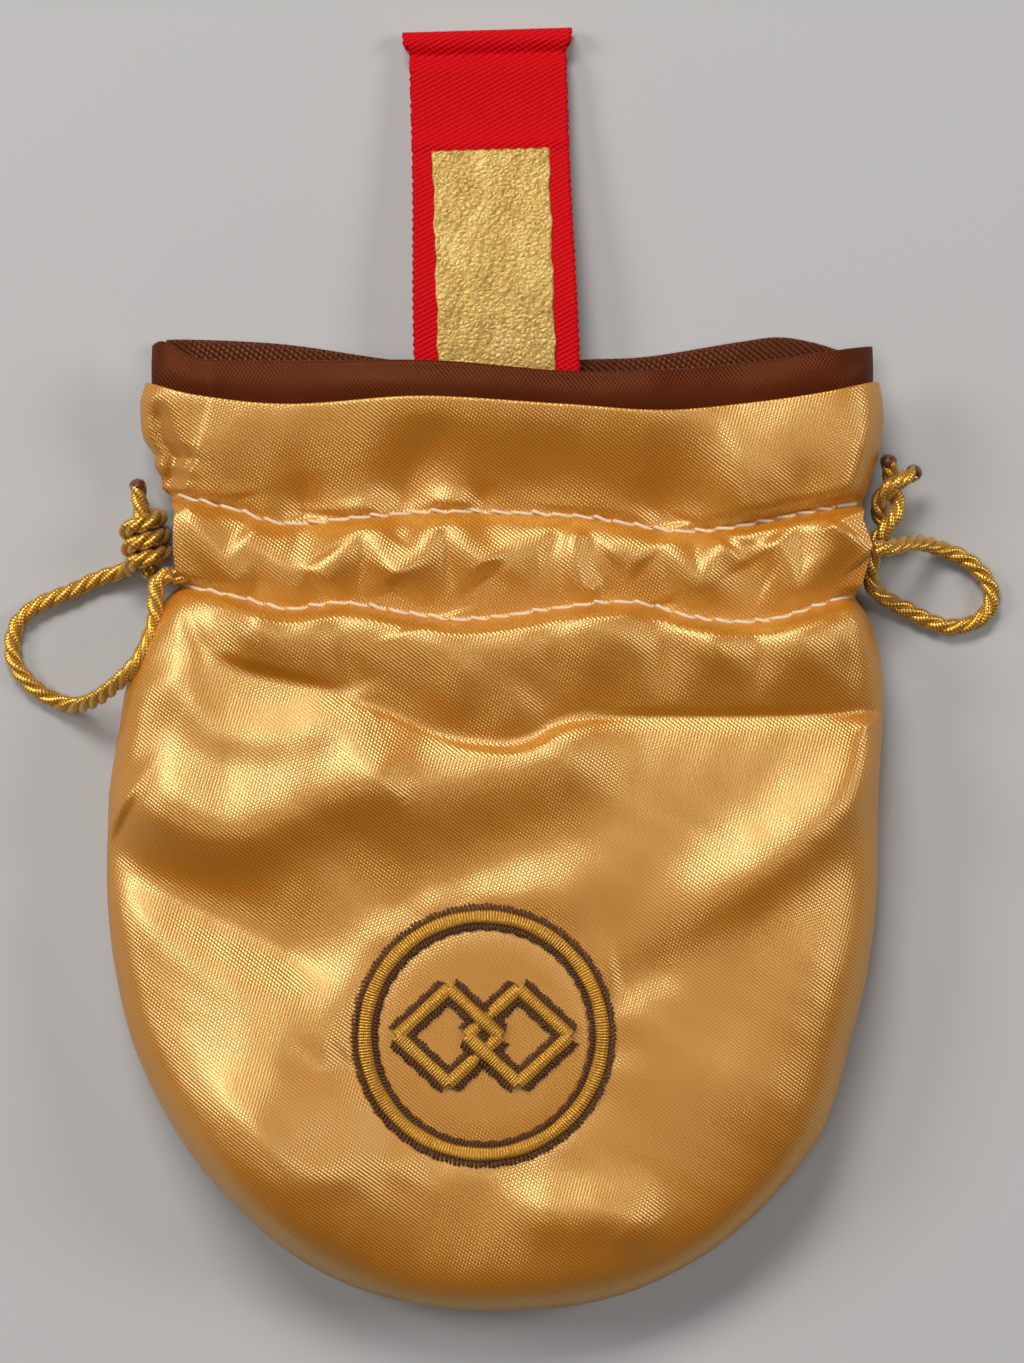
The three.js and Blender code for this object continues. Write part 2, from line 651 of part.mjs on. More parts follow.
// Right cord: its loop lies on the table, and its ends leave the slit twisted round each other.
function rightCord() {
  const edge = slitEdge(1, RIGHT_CORD_Y);
  const axis = through([
    [edge + 2.5, 18.2, 5.0],
    [edge + 2.7, 20.4, 5.0],
    [edge + 3.6, 22.8, 4.9],
    [edge + 5.2, 25.2, 4.8],
  ]);
  const strand = (sign) =>
    Array.from({ length: 25 }, (_, i) => {
      const t = i / 24;
      const along = axis.getTangentAt(t);
      const across = new THREE.Vector3(0, 0, 1).cross(along).normalize();
      const up = along.clone().cross(across);
      const angle = sign * (Math.PI / 2) + 2 * Math.PI * TWIST_TURNS * t;
      const radius = ((CORD + KNOT_GAP) / 2) * (1 + 0.5 * smooth(0.8, 1, t));
      const offset = across.multiplyScalar(radius * Math.cos(angle));
      return axis.getPointAt(t).add(offset).add(up.multiplyScalar(radius * Math.sin(angle)));
    });
  const loopEnd = strand(1);
  const backEnd = strand(-1);

  const exit = new THREE.Vector3(edge + CORD_CLEAR, RIGHT_CORD_Y, BACK_CORD_Z);
  const ahead = exit.clone().add(new THREE.Vector3(0.4 * CORD, 0, 0));
  const bend = exit.clone().lerp(backEnd[0], 0.6).add(new THREE.Vector3(0.4, -0.2, -0.2));
  piece("right_knot_back_end", tube(route([exit, ahead, bend, ...backEnd]), CORD, 40, 6), GOLD_CORD);

  const loop = [
    [edge + CORD_CLEAR, RIGHT_CORD_Y, FRONT_CORD_Z],
    [edge + CORD_CLEAR + 0.4 * CORD, RIGHT_CORD_Y, FRONT_CORD_Z],
    [50.4, 15.3, 9.7],
    [52.7, 15.9, 7.0],
    [55.0, 16.0, 4.0],
    [57.4, 15.4, 1.8],
    [59.7, 14.6, 1.1],
    [61.8, 13.3, 1.1],
    [63.4, 11.5, 1.1],
    [64.2, 9.5, 1.1],
    [63.6, 7.2, 1.1],
    [61.6, 5.7, 1.1],
    [58.5, 5.3, 1.1],
    [55.6, 6.3, 1.1],
    [52.6, 7.8, 1.2],
    [50.3, 9.0, 2.0],
    [48.6, 10.6, 3.6],
    [48.3, 12.8, 5.2],
  ].map((p) => new THREE.Vector3(...p));
  const lead = loopEnd[0].clone().add(new THREE.Vector3(-0.6 * CORD, -0.9 * CORD, -0.1 * CORD));
  const [free, tied] = split([...loop, lead, ...loopEnd], loop.length, CORD_CLEAR);
  piece("right_cord_loop", tube(free, CORD, 32), GOLD_CORD);
  piece("right_knot_loop_end", tube(tied, CORD, 40, 6), GOLD_CORD);
}

// Amulet. The ribbon goes up behind the card, rolls over at the top and comes down in front of the card.
const BACK_LEG_Z = BACK_FACE + PLY_GAP + RIBBON / 2;
const CARD_Z = BACK_LEG_Z + RIBBON / 2 + PLY_GAP;
const FRONT_LEG_Z = CARD_Z + CARD + PLY_GAP + RIBBON / 2;
const RIM_Y = BACK_EDGE_Y + RIM_STAND;
const FOLD_Y = RIBBON_TOP_Y - FOLD_RADIUS - RIBBON / 2;

// Height of the ribbon's front leg: level in the pouch, then sloping down to the table.
function frontLeg(y) {
  const low = PLY_GAP + RIBBON / 2 + 2 * FOLD_RADIUS;
  return mix(FRONT_LEG_Z, low, smooth(RIM_Y, FOLD_Y, y));
}

function backLeg(y) {
  return mix(BACK_LEG_Z, PLY_GAP + RIBBON / 2, smooth(RIM_Y, FOLD_Y, y));
}

// A strip of a given width and thickness whose side view follows points of [y, z].
function strip(points, width, thickness) {
  const line = points.map(([y, z]) => new THREE.Vector2(y, z));
  const moved = (offset) =>
    line.map((p, i) => {
      const before = line[Math.max(0, i - 1)];
      const after = line[Math.min(line.length - 1, i + 1)];
      const along = after.clone().sub(before).normalize();
      return p.clone().add(new THREE.Vector2(-along.y, along.x).multiplyScalar(offset));
    });
  const outline = [...moved(thickness / 2), ...moved(-thickness / 2).reverse()];
  const options = { depth: width, bevelEnabled: false };
  const flat = new THREE.ExtrudeGeometry(new THREE.Shape(outline), options).translate(0, 0, -width / 2);
  const axes = [new THREE.Vector3(0, 1, 0), new THREE.Vector3(0, 0, 1), new THREE.Vector3(1, 0, 0)];
  return flat.applyMatrix4(new THREE.Matrix4().makeBasis(...axes));
}

// Leans a piece with the ribbon, about the middle of the mouth.
function leaned(geometry) {
  const lean = THREE.MathUtils.degToRad(RIBBON_LEAN);
  return closed(geometry.translate(0, -RIM_Y, 0).rotateZ(lean).translate(RIBBON_SHIFT, RIM_Y, 0));
}

function amulet() {
  const slope = Array.from({ length: 9 }, (_, i) => mix(RIM_Y, FOLD_Y, i / 8));
  const roll = Array.from({ length: 7 }, (_, i) => {
    const angle = (Math.PI * (i + 1)) / 8;
    const z = PLY_GAP + RIBBON / 2 + FOLD_RADIUS - FOLD_RADIUS * Math.cos(angle);
    return [FOLD_Y + FOLD_RADIUS * Math.sin(angle), z];
  });
  const up = [RIBBON_BOTTOM_Y, ...slope].map((y) => [y, backLeg(y)]);
  const down = [...slope.reverse(), RIBBON_BOTTOM_Y].map((y) => [y, frontLeg(y)]);
  piece("amulet_ribbon", leaned(strip([...up, ...roll, ...down], RIBBON_WIDTH, RIBBON)), RED_RIBBON);

  const foilRise = RIBBON / 2 + TRIM_GAP / 2 + FOIL / 2;
  const foilLine = Array.from({ length: 9 }, (_, i) => {
    const y = FOIL_TOP_Y - (FOIL_LENGTH * i) / 8;
    return [y, frontLeg(y) + foilRise];
  });
  piece("foil_panel", leaned(strip(foilLine, FOIL_WIDTH, FOIL)), GOLD_FOIL);

  const [w, r] = [CARD_WIDTH / 2, CARD_CORNER];
  const corners = [
    [w - r, CARD_TOP_Y - r, 0],
    [r - w, CARD_TOP_Y - r, 1],
    [r - w, CARD_BOTTOM_Y + r, 2],
    [w - r, CARD_BOTTOM_Y + r, 3],
  ];
  const shape = new THREE.Shape();
  for (const [x, y, quarter] of corners) {
    shape.absarc(x, y, r, (quarter * Math.PI) / 2, ((quarter + 1) * Math.PI) / 2);
  }
  const card = new THREE.ExtrudeGeometry(shape, { depth: CARD, bevelEnabled: false, curveSegments: 5 });
  piece("amulet_card", closed(card.translate(0, 0, CARD_Z)), CARD_STOCK);

  const lift = FRONT_LEG_Z + RIBBON / 2 + TRIM_GAP / 2 + TACK_THREAD / 2;
  const count = Math.round((0.8 * RIBBON_WIDTH) / STITCH);
  const points = Array.from({ length: 2 * count + 1 }, (_, i) => {
    const x = RIBBON_SHIFT + 0.8 * RIBBON_WIDTH * (i / (2 * count) - 0.5);
    return [x, TACK_Y, lift + (i % 2 ? TACK_THREAD / 2 : 0)];
  });
  piece("ribbon_tack_stitch", tube(through(points), TACK_THREAD, 2 * count, 4), CREAM_THREAD);
}

panels();
seamThread();
stitching();
embroidery();
cordRun("left_cord_run", -1, LEFT_CORD_Y);
cordRun("right_cord_run", 1, RIGHT_CORD_Y);
leftCord();
rightCord();
amulet();

export default pouch;
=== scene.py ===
"""Looks for a satin amulet pouch: gathered gold satin, brown lining, twisted cords and a ribbon amulet."""

import math
from dataclasses import dataclass

import bpy
import numpy as np
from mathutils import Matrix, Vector


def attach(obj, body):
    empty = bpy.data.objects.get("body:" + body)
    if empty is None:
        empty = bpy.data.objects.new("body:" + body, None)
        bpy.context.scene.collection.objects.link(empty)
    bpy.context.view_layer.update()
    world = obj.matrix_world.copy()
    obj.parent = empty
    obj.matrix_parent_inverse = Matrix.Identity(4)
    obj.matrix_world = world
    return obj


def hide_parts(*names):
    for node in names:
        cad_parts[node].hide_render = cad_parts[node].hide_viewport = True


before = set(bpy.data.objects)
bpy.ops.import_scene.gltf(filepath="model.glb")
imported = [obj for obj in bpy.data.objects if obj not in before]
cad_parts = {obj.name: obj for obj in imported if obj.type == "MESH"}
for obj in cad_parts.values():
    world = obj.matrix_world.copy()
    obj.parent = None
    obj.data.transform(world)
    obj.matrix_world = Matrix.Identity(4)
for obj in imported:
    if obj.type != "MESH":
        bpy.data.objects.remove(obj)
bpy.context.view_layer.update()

MM = 0.001

# The photograph looks straight down: this pixel lies over the frame's origin.
PX_PER_MM = 7.8
PX_ORIGIN = (495.0, 667.5)
PX_CENTRE = (512.0, 681.5)
VIEW_HEIGHT = 1363 / PX_PER_MM
LENS = 120.0
SENSOR = 36.0
OUTLINE_Z = 6.0

# Sizes of the pouch in millimetres: its outline is the one in the part's source
BODY_WIDTH = 99.0
WIDEST_Y = -22.0
BOTTOM_DEPTH = 60.4
BOTTOM_POWER = 2.25
NECK_WIDTH = 87.6
CASING_WIDTH = 88.6
FRILL_WIDTH = 94.2
FRILL_BULGE = 2.4
LOWER_ROW_Y = 7.6
UPPER_ROW_Y = 19.2
FRONT_EDGE_Y = 34.0
BACK_EDGE_Y = 36.2
RIM_STAND = 4.2
BODY_SWAY = -0.4
NECK_SWAY = 3.5
FRILL_SWAY = 2.2
BODY_TOP = 15.0
SHOULDER_Y = -10.0
ROW_TOP = 9.8
LOWER_ROW_TOP = 11.4
CASING_TOP = 12.5
MOUTH_TOP = 12.6
SEAM_Z = 5.8
BACK_FLAT_SHARE = 0.86
SLIT_EASE = 1.4
CASING_ROUND = 0.6

# How late the cloth turns: down to the seam, in to the neck and across to the neck's middle
SWELL_POWER = 16
SHOULDER_POWER = 5
SWAY_POWER = 3

# Cords, embroidery and ribbon, in millimetres
CORD = 2.2
FRONT_CORD_Z = 10.3
BACK_CORD_Z = 1.8
LEFT_CORD_Y = 11.7
RIGHT_CORD_Y = 15.1
LEFT_SLIT_X = -40.8
RIGHT_SLIT_X = 47.8
CORD_TURN_X = 41.3

RING_X = -1.4
RING_Y = -46.5
RING_RADIUS = 16.6
RING_BAND = 3.2
GOLD_BAND = 1.7
LOZENGE = (13.0, 12.0)
LOZENGE_SHIFT = 4.4

RIBBON_WIDTH = 20.2
RIBBON_TOP_Y = 82.4
RIBBON_LEAN = math.radians(1.7)
RIBBON_SHIFT = 0.2
RIM_Y = BACK_EDGE_Y + RIM_STAND


def mm_at(px, py):
    """Place in the frame, in millimetres, that a pixel of the photograph shows."""
    return (px - PX_ORIGIN[0]) / PX_PER_MM, (PX_ORIGIN[1] - py) / PX_PER_MM


def mm_line(pixels):
    """A line of pixels in millimetres, a row for each point."""
    return np.array([mm_at(*pixel) for pixel in pixels])


def mix(a, b, t):
    return a + (b - a) * t


def unit(vectors):
    return vectors / np.linalg.norm(vectors, axis=-1, keepdims=True)


def share_between(low, high, value):
    """0 up to low, 1 from high on, and in proportion between them."""
    return np.clip((value - low) / (high - low), 0.0, 1.0)


def smooth(low, high, value):
    t = share_between(low, high, value)
    return t * t * (3 - 2 * t)


def bell(distance, width):
    """1 at no distance, and softly down to almost 0 at twice the width."""
    return np.exp(-((distance / width) ** 2))


# Meshes


def make_mesh(name, points, faces, material, uv=None):
    """A smooth-shaded object from points in millimetres."""
    mesh = bpy.data.meshes.new(name)
    mesh.from_pydata((np.asarray(points) * MM).tolist(), [], faces)
    mesh.update()
    mesh.polygons.foreach_set("use_smooth", [True] * len(mesh.polygons))
    if uv is not None:
        layer = mesh.uv_layers.new(name="cloth")
        loops = np.zeros(len(mesh.loops), dtype=np.int32)
        mesh.loops.foreach_get("vertex_index", loops)
        layer.data.foreach_set("uv", np.asarray(uv)[loops].ravel())
    mesh.materials.append(material)
    obj = bpy.data.objects.new(name, mesh)
    bpy.context.scene.collection.objects.link(obj)
    return obj


def grid_faces(rows, columns):
    index = np.arange(rows * columns).reshape(rows, columns)
    corners = (index[:-1, :-1], index[:-1, 1:], index[1:, 1:], index[1:, :-1])
    return np.stack(corners, axis=-1).reshape(-1, 4).tolist()


def thicken(obj, thickness, offset=-1.0):
    """Gives a cloth piece its thickness, in millimetres."""
    modifier = obj.modifiers.new("thickness", "SOLIDIFY")
    modifier.thickness = thickness * MM
    modifier.offset = offset
    modifier.use_rim = True


def catmull(points, steps):
    """A smooth line through points, with a number of steps between each two."""
    p = np.asarray(points, dtype=float)
    p = np.vstack([2 * p[0] - p[1], p, 2 * p[-1] - p[-2]])
    out = []
    for i in range(1, len(p) - 2):
        t = np.linspace(0, 1, steps, endpoint=False)[:, None]
        a, b, c, d = p[i - 1], p[i], p[i + 1], p[i + 2]
        bend = (2 * a - 5 * b + 4 * c - d) * t**2 + (3 * b - a - 3 * c + d) * t**3
        out.append((2 * b + (c - a) * t + bend) / 2)
    return np.vstack(out + [p[-2:-1]])


def marks_along(points):
    """How far along a line each of its points lies."""
    return np.concatenate([[0], np.cumsum(np.linalg.norm(np.diff(points, axis=0), axis=1))])


def line_length(points):
    return float(marks_along(points)[-1])


def even_steps(points, step):
    """The same line with points a fixed distance apart."""
    lengths = marks_along(points)
    count = max(2, int(round(lengths[-1] / step)))
    marks = np.linspace(0, lengths[-1], count + 1)
    return np.stack([np.interp(marks, lengths, points[:, k]) for k in range(3)], axis=1)


# A direction that no line runs along, and how far a tube's ends bulge, as a share of its radius
ODD_DIRECTION = (0.31, 0.23, 0.92)
END_BULGE = 0.4


def frames_along(points):
    """Tangent and two side directions along a line, with no twist of their own."""
    tangent = unit(np.gradient(points, axis=0))
    side = np.cross(tangent[0], ODD_DIRECTION)
    sides = []
    for t in tangent:
        side = unit(side - t * np.dot(side, t))
        sides.append(side)
    sides = np.array(sides)
    return tangent, sides, np.cross(tangent, sides)


def tube_parts(points, radius, sides, first):
    """Points and faces of a round tube along a line, with closed, slightly rounded ends.

    first is the number of the tube's first point in the whole piece.
    """
    points = np.asarray(points, dtype=float)
    radius = np.broadcast_to(radius, len(points))
    tangent, u, v = frames_along(points)
    bulge = END_BULGE * radius[:, None] * tangent
    ends = [points[0] - bulge[0], points[-1] + bulge[-1]]
    angle = np.linspace(0, 2 * np.pi, sides, endpoint=False)
    outward = np.cos(angle)[:, None] * u[:, None] + np.sin(angle)[:, None] * v[:, None]
    ring = points[:, None] + radius[:, None, None] * outward
    verts = np.vstack([ring.reshape(-1, 3), ends])
    count = len(points)
    faces = []
    for i in range(count - 1):
        for k in range(sides):
            a, b = i * sides + k, i * sides + (k + 1) % sides
            faces.append([first + a, first + b, first + b + sides, first + a + sides])
    head = first + count * sides
    last = head - sides
    for k in range(sides):
        following = (k + 1) % sides
        faces.append([head, first + following, first + k])
        faces.append([head + 1, last + k, last + following])
    length = line_length(points)
    share = np.repeat(np.linspace(0, 1, count), sides) * length
    around = np.tile(angle / (2 * np.pi), count)
    uv = np.vstack([np.stack([share, around], axis=1), [[0, 0], [length, 0]]])
    return verts, faces, uv


def join_tubes(name, lines, radius, sides, material):
    """Many tubes as one piece."""
    verts, faces, uvs, first = [], [], [], 0
    for line in lines:
        v, f, uv = tube_parts(line, radius, sides, first)
        verts.append(v)
        faces += f
        uvs.append(uv)
        first += len(v)
    return make_mesh(name, np.vstack(verts), faces, material, np.vstack(uvs))


# Materials

# Scale at which a wave texture repeats once for each unit of its coordinate
WAVE_TURN = 2 * math.pi / 20


class Shader:
    """A small helper for building a material's nodes."""

    def __init__(self, name):
        self.material = bpy.data.materials.new(name)
        self.material.use_nodes = True
        self.tree = self.material.node_tree
        self.surface = self.tree.nodes["Principled BSDF"]

    def put(self, socket, value):
        """Links an output to a socket, or gives the socket a value."""
        if isinstance(value, bpy.types.NodeSocket):
            self.tree.links.new(value, socket)
        else:
            socket.default_value = value

    def fill(self, node, inputs):
        for key, value in inputs.items():
            self.put(node.inputs[key.replace("_", " ")], value)
        return node

    def node(self, kind, **inputs):
        return self.fill(self.tree.nodes.new(kind), inputs)

    def set(self, **inputs):
        self.fill(self.surface, inputs)

    def place(self, scale=(1, 1, 1), rotation=(0, 0, 0), space="Object"):
        start = self.node("ShaderNodeTexCoord").outputs[space]
        return self.node("ShaderNodeMapping", Vector=start, Scale=scale, Rotation=rotation).outputs["Vector"]

    def noise(self, vector, scale, detail, roughness=0.5):
        made = self.node("ShaderNodeTexNoise", Vector=vector, Scale=scale, Detail=detail, Roughness=roughness)
        return made.outputs["Fac"]

    def waves(self, vector, distortion, detail_scale=1.0):
        made = self.node("ShaderNodeTexWave", Vector=vector, Scale=WAVE_TURN, Distortion=distortion)
        return self.fill(made, {"Detail Scale": detail_scale}).outputs["Fac"]

    def ramp(self, fac, stops):
        made = self.node("ShaderNodeValToRGB", Fac=fac)
        elements = made.color_ramp.elements
        while len(elements) < len(stops):
            elements.new(0.5)
        for element, (position, colour) in zip(elements, stops):
            element.position = position
            element.color = (*colour, 1.0)
        return made.outputs["Color"]

    def math(self, operation, a, b):
        made = self.node("ShaderNodeMath")
        made.operation = operation
        self.put(made.inputs[0], a)
        self.put(made.inputs[1], b)
        return made.outputs["Value"]

    def range(self, fac, low, high):
        return self.node("ShaderNodeMapRange", Value=fac, To_Min=low, To_Max=high).outputs["Result"]

    def blend(self, fac, a, b):
        """A mix of two colours, of which the first can be an output."""
        made = self.node("ShaderNodeMix")
        made.data_type = "RGBA"
        first = a if isinstance(a, bpy.types.NodeSocket) else (*a, 1.0)
        return self.fill(made, {"Factor": fac, "A": first, "B": (*b, 1.0)}).outputs["Result"]

    def bump(self, height, strength, distance_mm):
        made = self.node("ShaderNodeBump", Height=height, Strength=strength, Distance=distance_mm * MM)
        return made.outputs["Normal"]


# Cloth: the angle from the twill lines to the cross threads, how strongly those show, the scale of its loose
# fibres across and along the lines, the scale of its slow change of tone, and the height of the weave
WEAVE_TURN = math.radians(68)
PICK_SHARE = 0.6
FIBRE_SHARE = 0.5
FIBRE_SCALE = (900, 4200, 900)
TONE_SCALE = 55.0
ROUGHNESS_CHANGE = 0.08
WEAVE_MM = 0.12


def twill_material(name, dark, light, shine, pitch_mm, angle, roughness, gloss, relief, line_shade):
    """Lustrous cloth: fine slanted twill lines, a slow change of tone, and soft broad highlights.

    shine is the colour of the highlights, and gloss the index of refraction that sets how strong they are.
    line_shade is how dark the hollows between the lines are.
    """
    s = Shader(name)
    fine = (1 / (pitch_mm * MM),) * 3
    twill = s.waves(s.place(fine, (0, 0, angle)), distortion=0.6, detail_scale=0.4)
    picks = s.waves(s.place(fine, (0, 0, angle + WEAVE_TURN)), distortion=0.8, detail_scale=0.5)
    weave = s.math("ADD", twill, s.math("MULTIPLY", picks, PICK_SHARE))
    fibres = s.noise(s.place(FIBRE_SCALE, (0, 0, angle + math.pi / 2)), 1.0, 2.0)
    tone = s.noise(s.place(), TONE_SCALE, 3.0)
    colour = s.blend(s.range(tone, 0.1, 0.9), dark, light)
    lined = s.blend(s.range(twill, line_shade, 0.0), colour, tuple(0.5 * c for c in dark))
    s.set(Base_Color=lined, IOR=gloss, Specular_Tint=(*shine, 1.0))
    s.set(Roughness=s.range(fibres, roughness - ROUGHNESS_CHANGE, roughness + ROUGHNESS_CHANGE))
    height = s.math("ADD", weave, s.math("MULTIPLY", fibres, FIBRE_SHARE))
    s.set(Normal=s.bump(height, relief, WEAVE_MM))
    return s.material


def thread_material(name, dark, light, roughness, metallic=0.0, ply=9.0, sheen=0.2):
    """Spun thread: slanted ply lines along the thread, their darker part painted shade in the grooves between
    plies, and a little change of tone.
    """
    s = Shader(name)
    plies = s.waves(s.place((ply, 3.0, 1.0), (0, 0, 0.5), space="UV"), distortion=0.5)
    tone = s.noise(s.place(), 700.0, 2.0)
    # The ply lines set the colour between dark and light: the dark is painted shade in the grooves between
    # plies, and the noise is the thread's own tone.
    s.set(Base_Color=s.blend(s.math("MULTIPLY", plies, s.range(tone, 0.5, 1.0)), dark, light))
    s.set(Roughness=roughness, Metallic=metallic, Sheen_Weight=sheen)
    s.set(Normal=s.bump(plies, 0.35, 0.08))
    return s.material


def foil_material():
    """Gold leaf: crinkled, with a patchy tone and painted shade in its creases."""
    s = Shader("gold_leaf")
    metres = s.place()
    crinkle = s.node("ShaderNodeTexVoronoi", Vector=metres, Scale=1500.0)
    crinkle.feature = "DISTANCE_TO_EDGE"
    wrinkle = s.noise(metres, 2200.0, 4.0, 0.6)
    patch = s.noise(metres, 300.0, 3.0)
    # The colour follows the wrinkles that also make the bumps: darker in their hollows as painted shade, with
    # a patchy tone of its own from the larger noise.
    tone = s.math("ADD", s.math("MULTIPLY", wrinkle, 0.7), s.math("MULTIPLY", patch, 0.4))
    golds = [(0.3, (0.24, 0.13, 0.02)), (0.55, (0.48, 0.31, 0.08)), (0.8, (0.68, 0.49, 0.19))]
    s.set(Base_Color=s.ramp(tone, golds))
    s.set(Metallic=0.55, Roughness=s.range(wrinkle, 0.3, 0.6))
    height = s.math("ADD", wrinkle, s.math("MULTIPLY", crinkle.outputs["Distance"], 2.0))
    s.set(Normal=s.bump(height, 0.6, 0.15))
    return s.material


def paper_material():
    """Plain card with fibres."""
    s = Shader("card_paper")
    metres = s.place()
    fibre = s.noise(metres, 1400.0, 4.0)
    tone = s.noise(metres, 90.0, 2.0)
    s.set(Base_Color=s.blend(s.math("MULTIPLY", fibre, tone), (0.86, 0.78, 0.62), (0.74, 0.64, 0.47)))
    s.set(Roughness=0.8, Normal=s.bump(fibre, 0.2, 0.06))
    return s.material


def table_material():
    """Plain pale grey table."""
    s = Shader("table_grey")
    tone = s.noise(s.place(), 6.0, 1.0)
    s.set(Base_Color=s.blend(tone, (0.445, 0.443, 0.442), (0.465, 0.463, 0.462)), Roughness=0.8)
    return s.material


SATIN = twill_material(
    "gold_satin",
    dark=(0.53, 0.168, 0.006),
    light=(0.62, 0.214, 0.010),
    shine=(1.0, 0.90, 0.43),
    pitch_mm=0.40,
    angle=math.radians(-52),
    roughness=0.34,
    gloss=2.8,
    relief=0.33,
    line_shade=0.6,
)
LINING = twill_material(
    "brown_lining",
    dark=(0.048, 0.007, 0.001),
    light=(0.078, 0.013, 0.0025),
    shine=(1.0, 0.36, 0.16),
    pitch_mm=0.42,
    angle=math.radians(-40),
    roughness=0.45,
    gloss=1.42,
    relief=0.3,
    line_shade=0.25,
)
# The same lining cloth, painted lighter and with strongly contrasting twill stripes: its light stripes are
# painted sheen, and its dark lines painted shade.
INSIDE_LINING_PAINTED_SHEEN = twill_material(
    "brown_lining_inside_painted_sheen",
    dark=(0.060, 0.010, 0.002),
    light=(0.150, 0.036, 0.012),
    shine=(1.0, 0.45, 0.25),
    pitch_mm=0.62,
    angle=math.radians(-52),
    roughness=0.40,
    gloss=1.45,
    relief=0.8,
    line_shade=0.95,
)
RIBBON = twill_material(
    "red_ribbon",
    dark=(0.58, 0.001, 0.004),
    light=(0.68, 0.002, 0.007),
    shine=(1.0, 0.3, 0.3),
    pitch_mm=0.55,
    angle=math.radians(62),
    roughness=0.55,
    gloss=1.3,
    relief=0.6,
    line_shade=0.6,
)
CREAM = thread_material("cream_thread", (0.62, 0.45, 0.28), (0.86, 0.72, 0.52), 0.55)
GOLD = thread_material("gold_thread", (0.44, 0.18, 0.010), (0.96, 0.58, 0.10), 0.26, 0.55, sheen=0.0)
BROWN = thread_material("brown_thread", (0.055, 0.013, 0.002), (0.140, 0.038, 0.007), 0.6, sheen=0.0)
ROPE = thread_material("gold_cord", (0.42, 0.18, 0.010), (0.98, 0.60, 0.09), 0.28, 0.65, ply=3.0)
SINGED = thread_material("singed_end", (0.055, 0.013, 0.005), (0.20, 0.060, 0.016), 0.35)
FOIL = foil_material()
PAPER = paper_material()
TABLE = table_material()


# Shape of the pouch


def half_width(y):
    below = share_between(0, BOTTOM_DEPTH, WIDEST_Y - y)
    bottom = BODY_WIDTH * (1 - below**BOTTOM_POWER) ** (1 / BOTTOM_POWER)
    rise = share_between(WIDEST_Y, LOWER_ROW_Y, y)
    body = np.where(y < WIDEST_Y, bottom, mix(BODY_WIDTH, NECK_WIDTH, rise**SHOULDER_POWER))
    along = share_between(LOWER_ROW_Y, UPPER_ROW_Y, y)
    neck = mix(NECK_WIDTH, CASING_WIDTH, np.sin(np.pi * along))
    up = share_between(UPPER_ROW_Y, FRONT_EDGE_Y, y)
    frill = mix(NECK_WIDTH, FRILL_WIDTH, smooth(0, 1, up)) + FRILL_BULGE * np.sin(np.pi * up)
    return np.where(y <= LOWER_ROW_Y, body, np.where(y <= UPPER_ROW_Y, neck, frill)) / 2


def sway(y):
    """Middle of the pouch, which leans a little to the right at its neck."""
    rise = share_between(WIDEST_Y, LOWER_ROW_Y, y)
    body = mix(BODY_SWAY, NECK_SWAY, rise**SWAY_POWER)
    return mix(body, FRILL_SWAY, smooth(UPPER_ROW_Y, FRONT_EDGE_Y, y))


def casing(y):
    """How much of its full height the casing has, softly rounded between the stitch rows."""
    return np.sin(np.pi * share_between(LOWER_ROW_Y, UPPER_ROW_Y, y)) ** CASING_ROUND


def tunnel(y):
    """1 where the casing's side ends are open for the cords, 0 outside the stitch rows."""
    opened = smooth(LOWER_ROW_Y, LOWER_ROW_Y + SLIT_EASE, y)
    return opened * (1 - smooth(UPPER_ROW_Y - SLIT_EASE, UPPER_ROW_Y, y))


def satin_top(y):
    fall = share_between(SHOULDER_Y, LOWER_ROW_Y, y)
    body = mix(LOWER_ROW_TOP, BODY_TOP, np.sqrt(1 - fall**2))
    neck = mix(body, ROW_TOP, share_between(LOWER_ROW_Y, UPPER_ROW_Y, y))
    frill = mix(neck, MOUTH_TOP, smooth(UPPER_ROW_Y, FRONT_EDGE_Y, y))
    return mix(frill, CASING_TOP, casing(y))


def outness(x, y):
    """0 on the middle line of the pouch, 1 on its seam."""
    across = np.abs(x - sway(np.maximum(y, WIDEST_Y))) / half_width(np.maximum(y, WIDEST_Y))
    down = share_between(0, BOTTOM_DEPTH, WIDEST_Y - y)
    return np.clip((across**BOTTOM_POWER + down**BOTTOM_POWER) ** (1 / BOTTOM_POWER), 0, 1)


def swell(x, y):
    """How far the cloth has risen from the seam: 0 on it and 1 over the middle."""
    return np.sqrt(np.maximum(0, 1 - outness(x, y) ** SWELL_POWER))


# Height in millimetres from which the cloth follows the uneven stitch rows
WARP_START_Y = -14.0

# Lines of the photograph that the cloth follows, in pixels
UPPER_ROW = [
    (190, 497), (240, 510), (290, 525), (370, 518), (450, 513), (580, 518), (690, 533), (800, 515), (862, 503)
]
LOWER_ROW = [
    (180, 585), (240, 598), (290, 610), (345, 604), (420, 616),
    (480, 620), (620, 603), (700, 620), (770, 621), (850, 598),
]
FRONT_EDGE = [
    (148, 386), (200, 400), (290, 409), (420, 402), (560, 410), (660, 416), (750, 408), (820, 398), (872, 386)
]
FRONT_RIM = [
    (150, 352), (165, 347), (190, 361), (215, 366), (330, 367),
    (440, 368), (560, 378), (660, 377), (760, 368), (868, 352),
]
BACK_RIM = [
    (152, 345), (180, 340), (280, 345), (400, 361), (500, 364), (590, 360),
    (650, 357), (740, 343), (780, 338), (815, 343), (845, 352),
]
CREASE = [
    (214, 658), (260, 671), (328, 689), (400, 717), (452, 738), (503, 747),
    (534, 741), (555, 728), (580, 720), (617, 717), (761, 716), (880, 712),
]


def follow(pixels, x):
    """Height in millimetres, at x, of a smooth line through pixels."""
    return np.interp(x, *catmull(mm_line(pixels), 12).T)


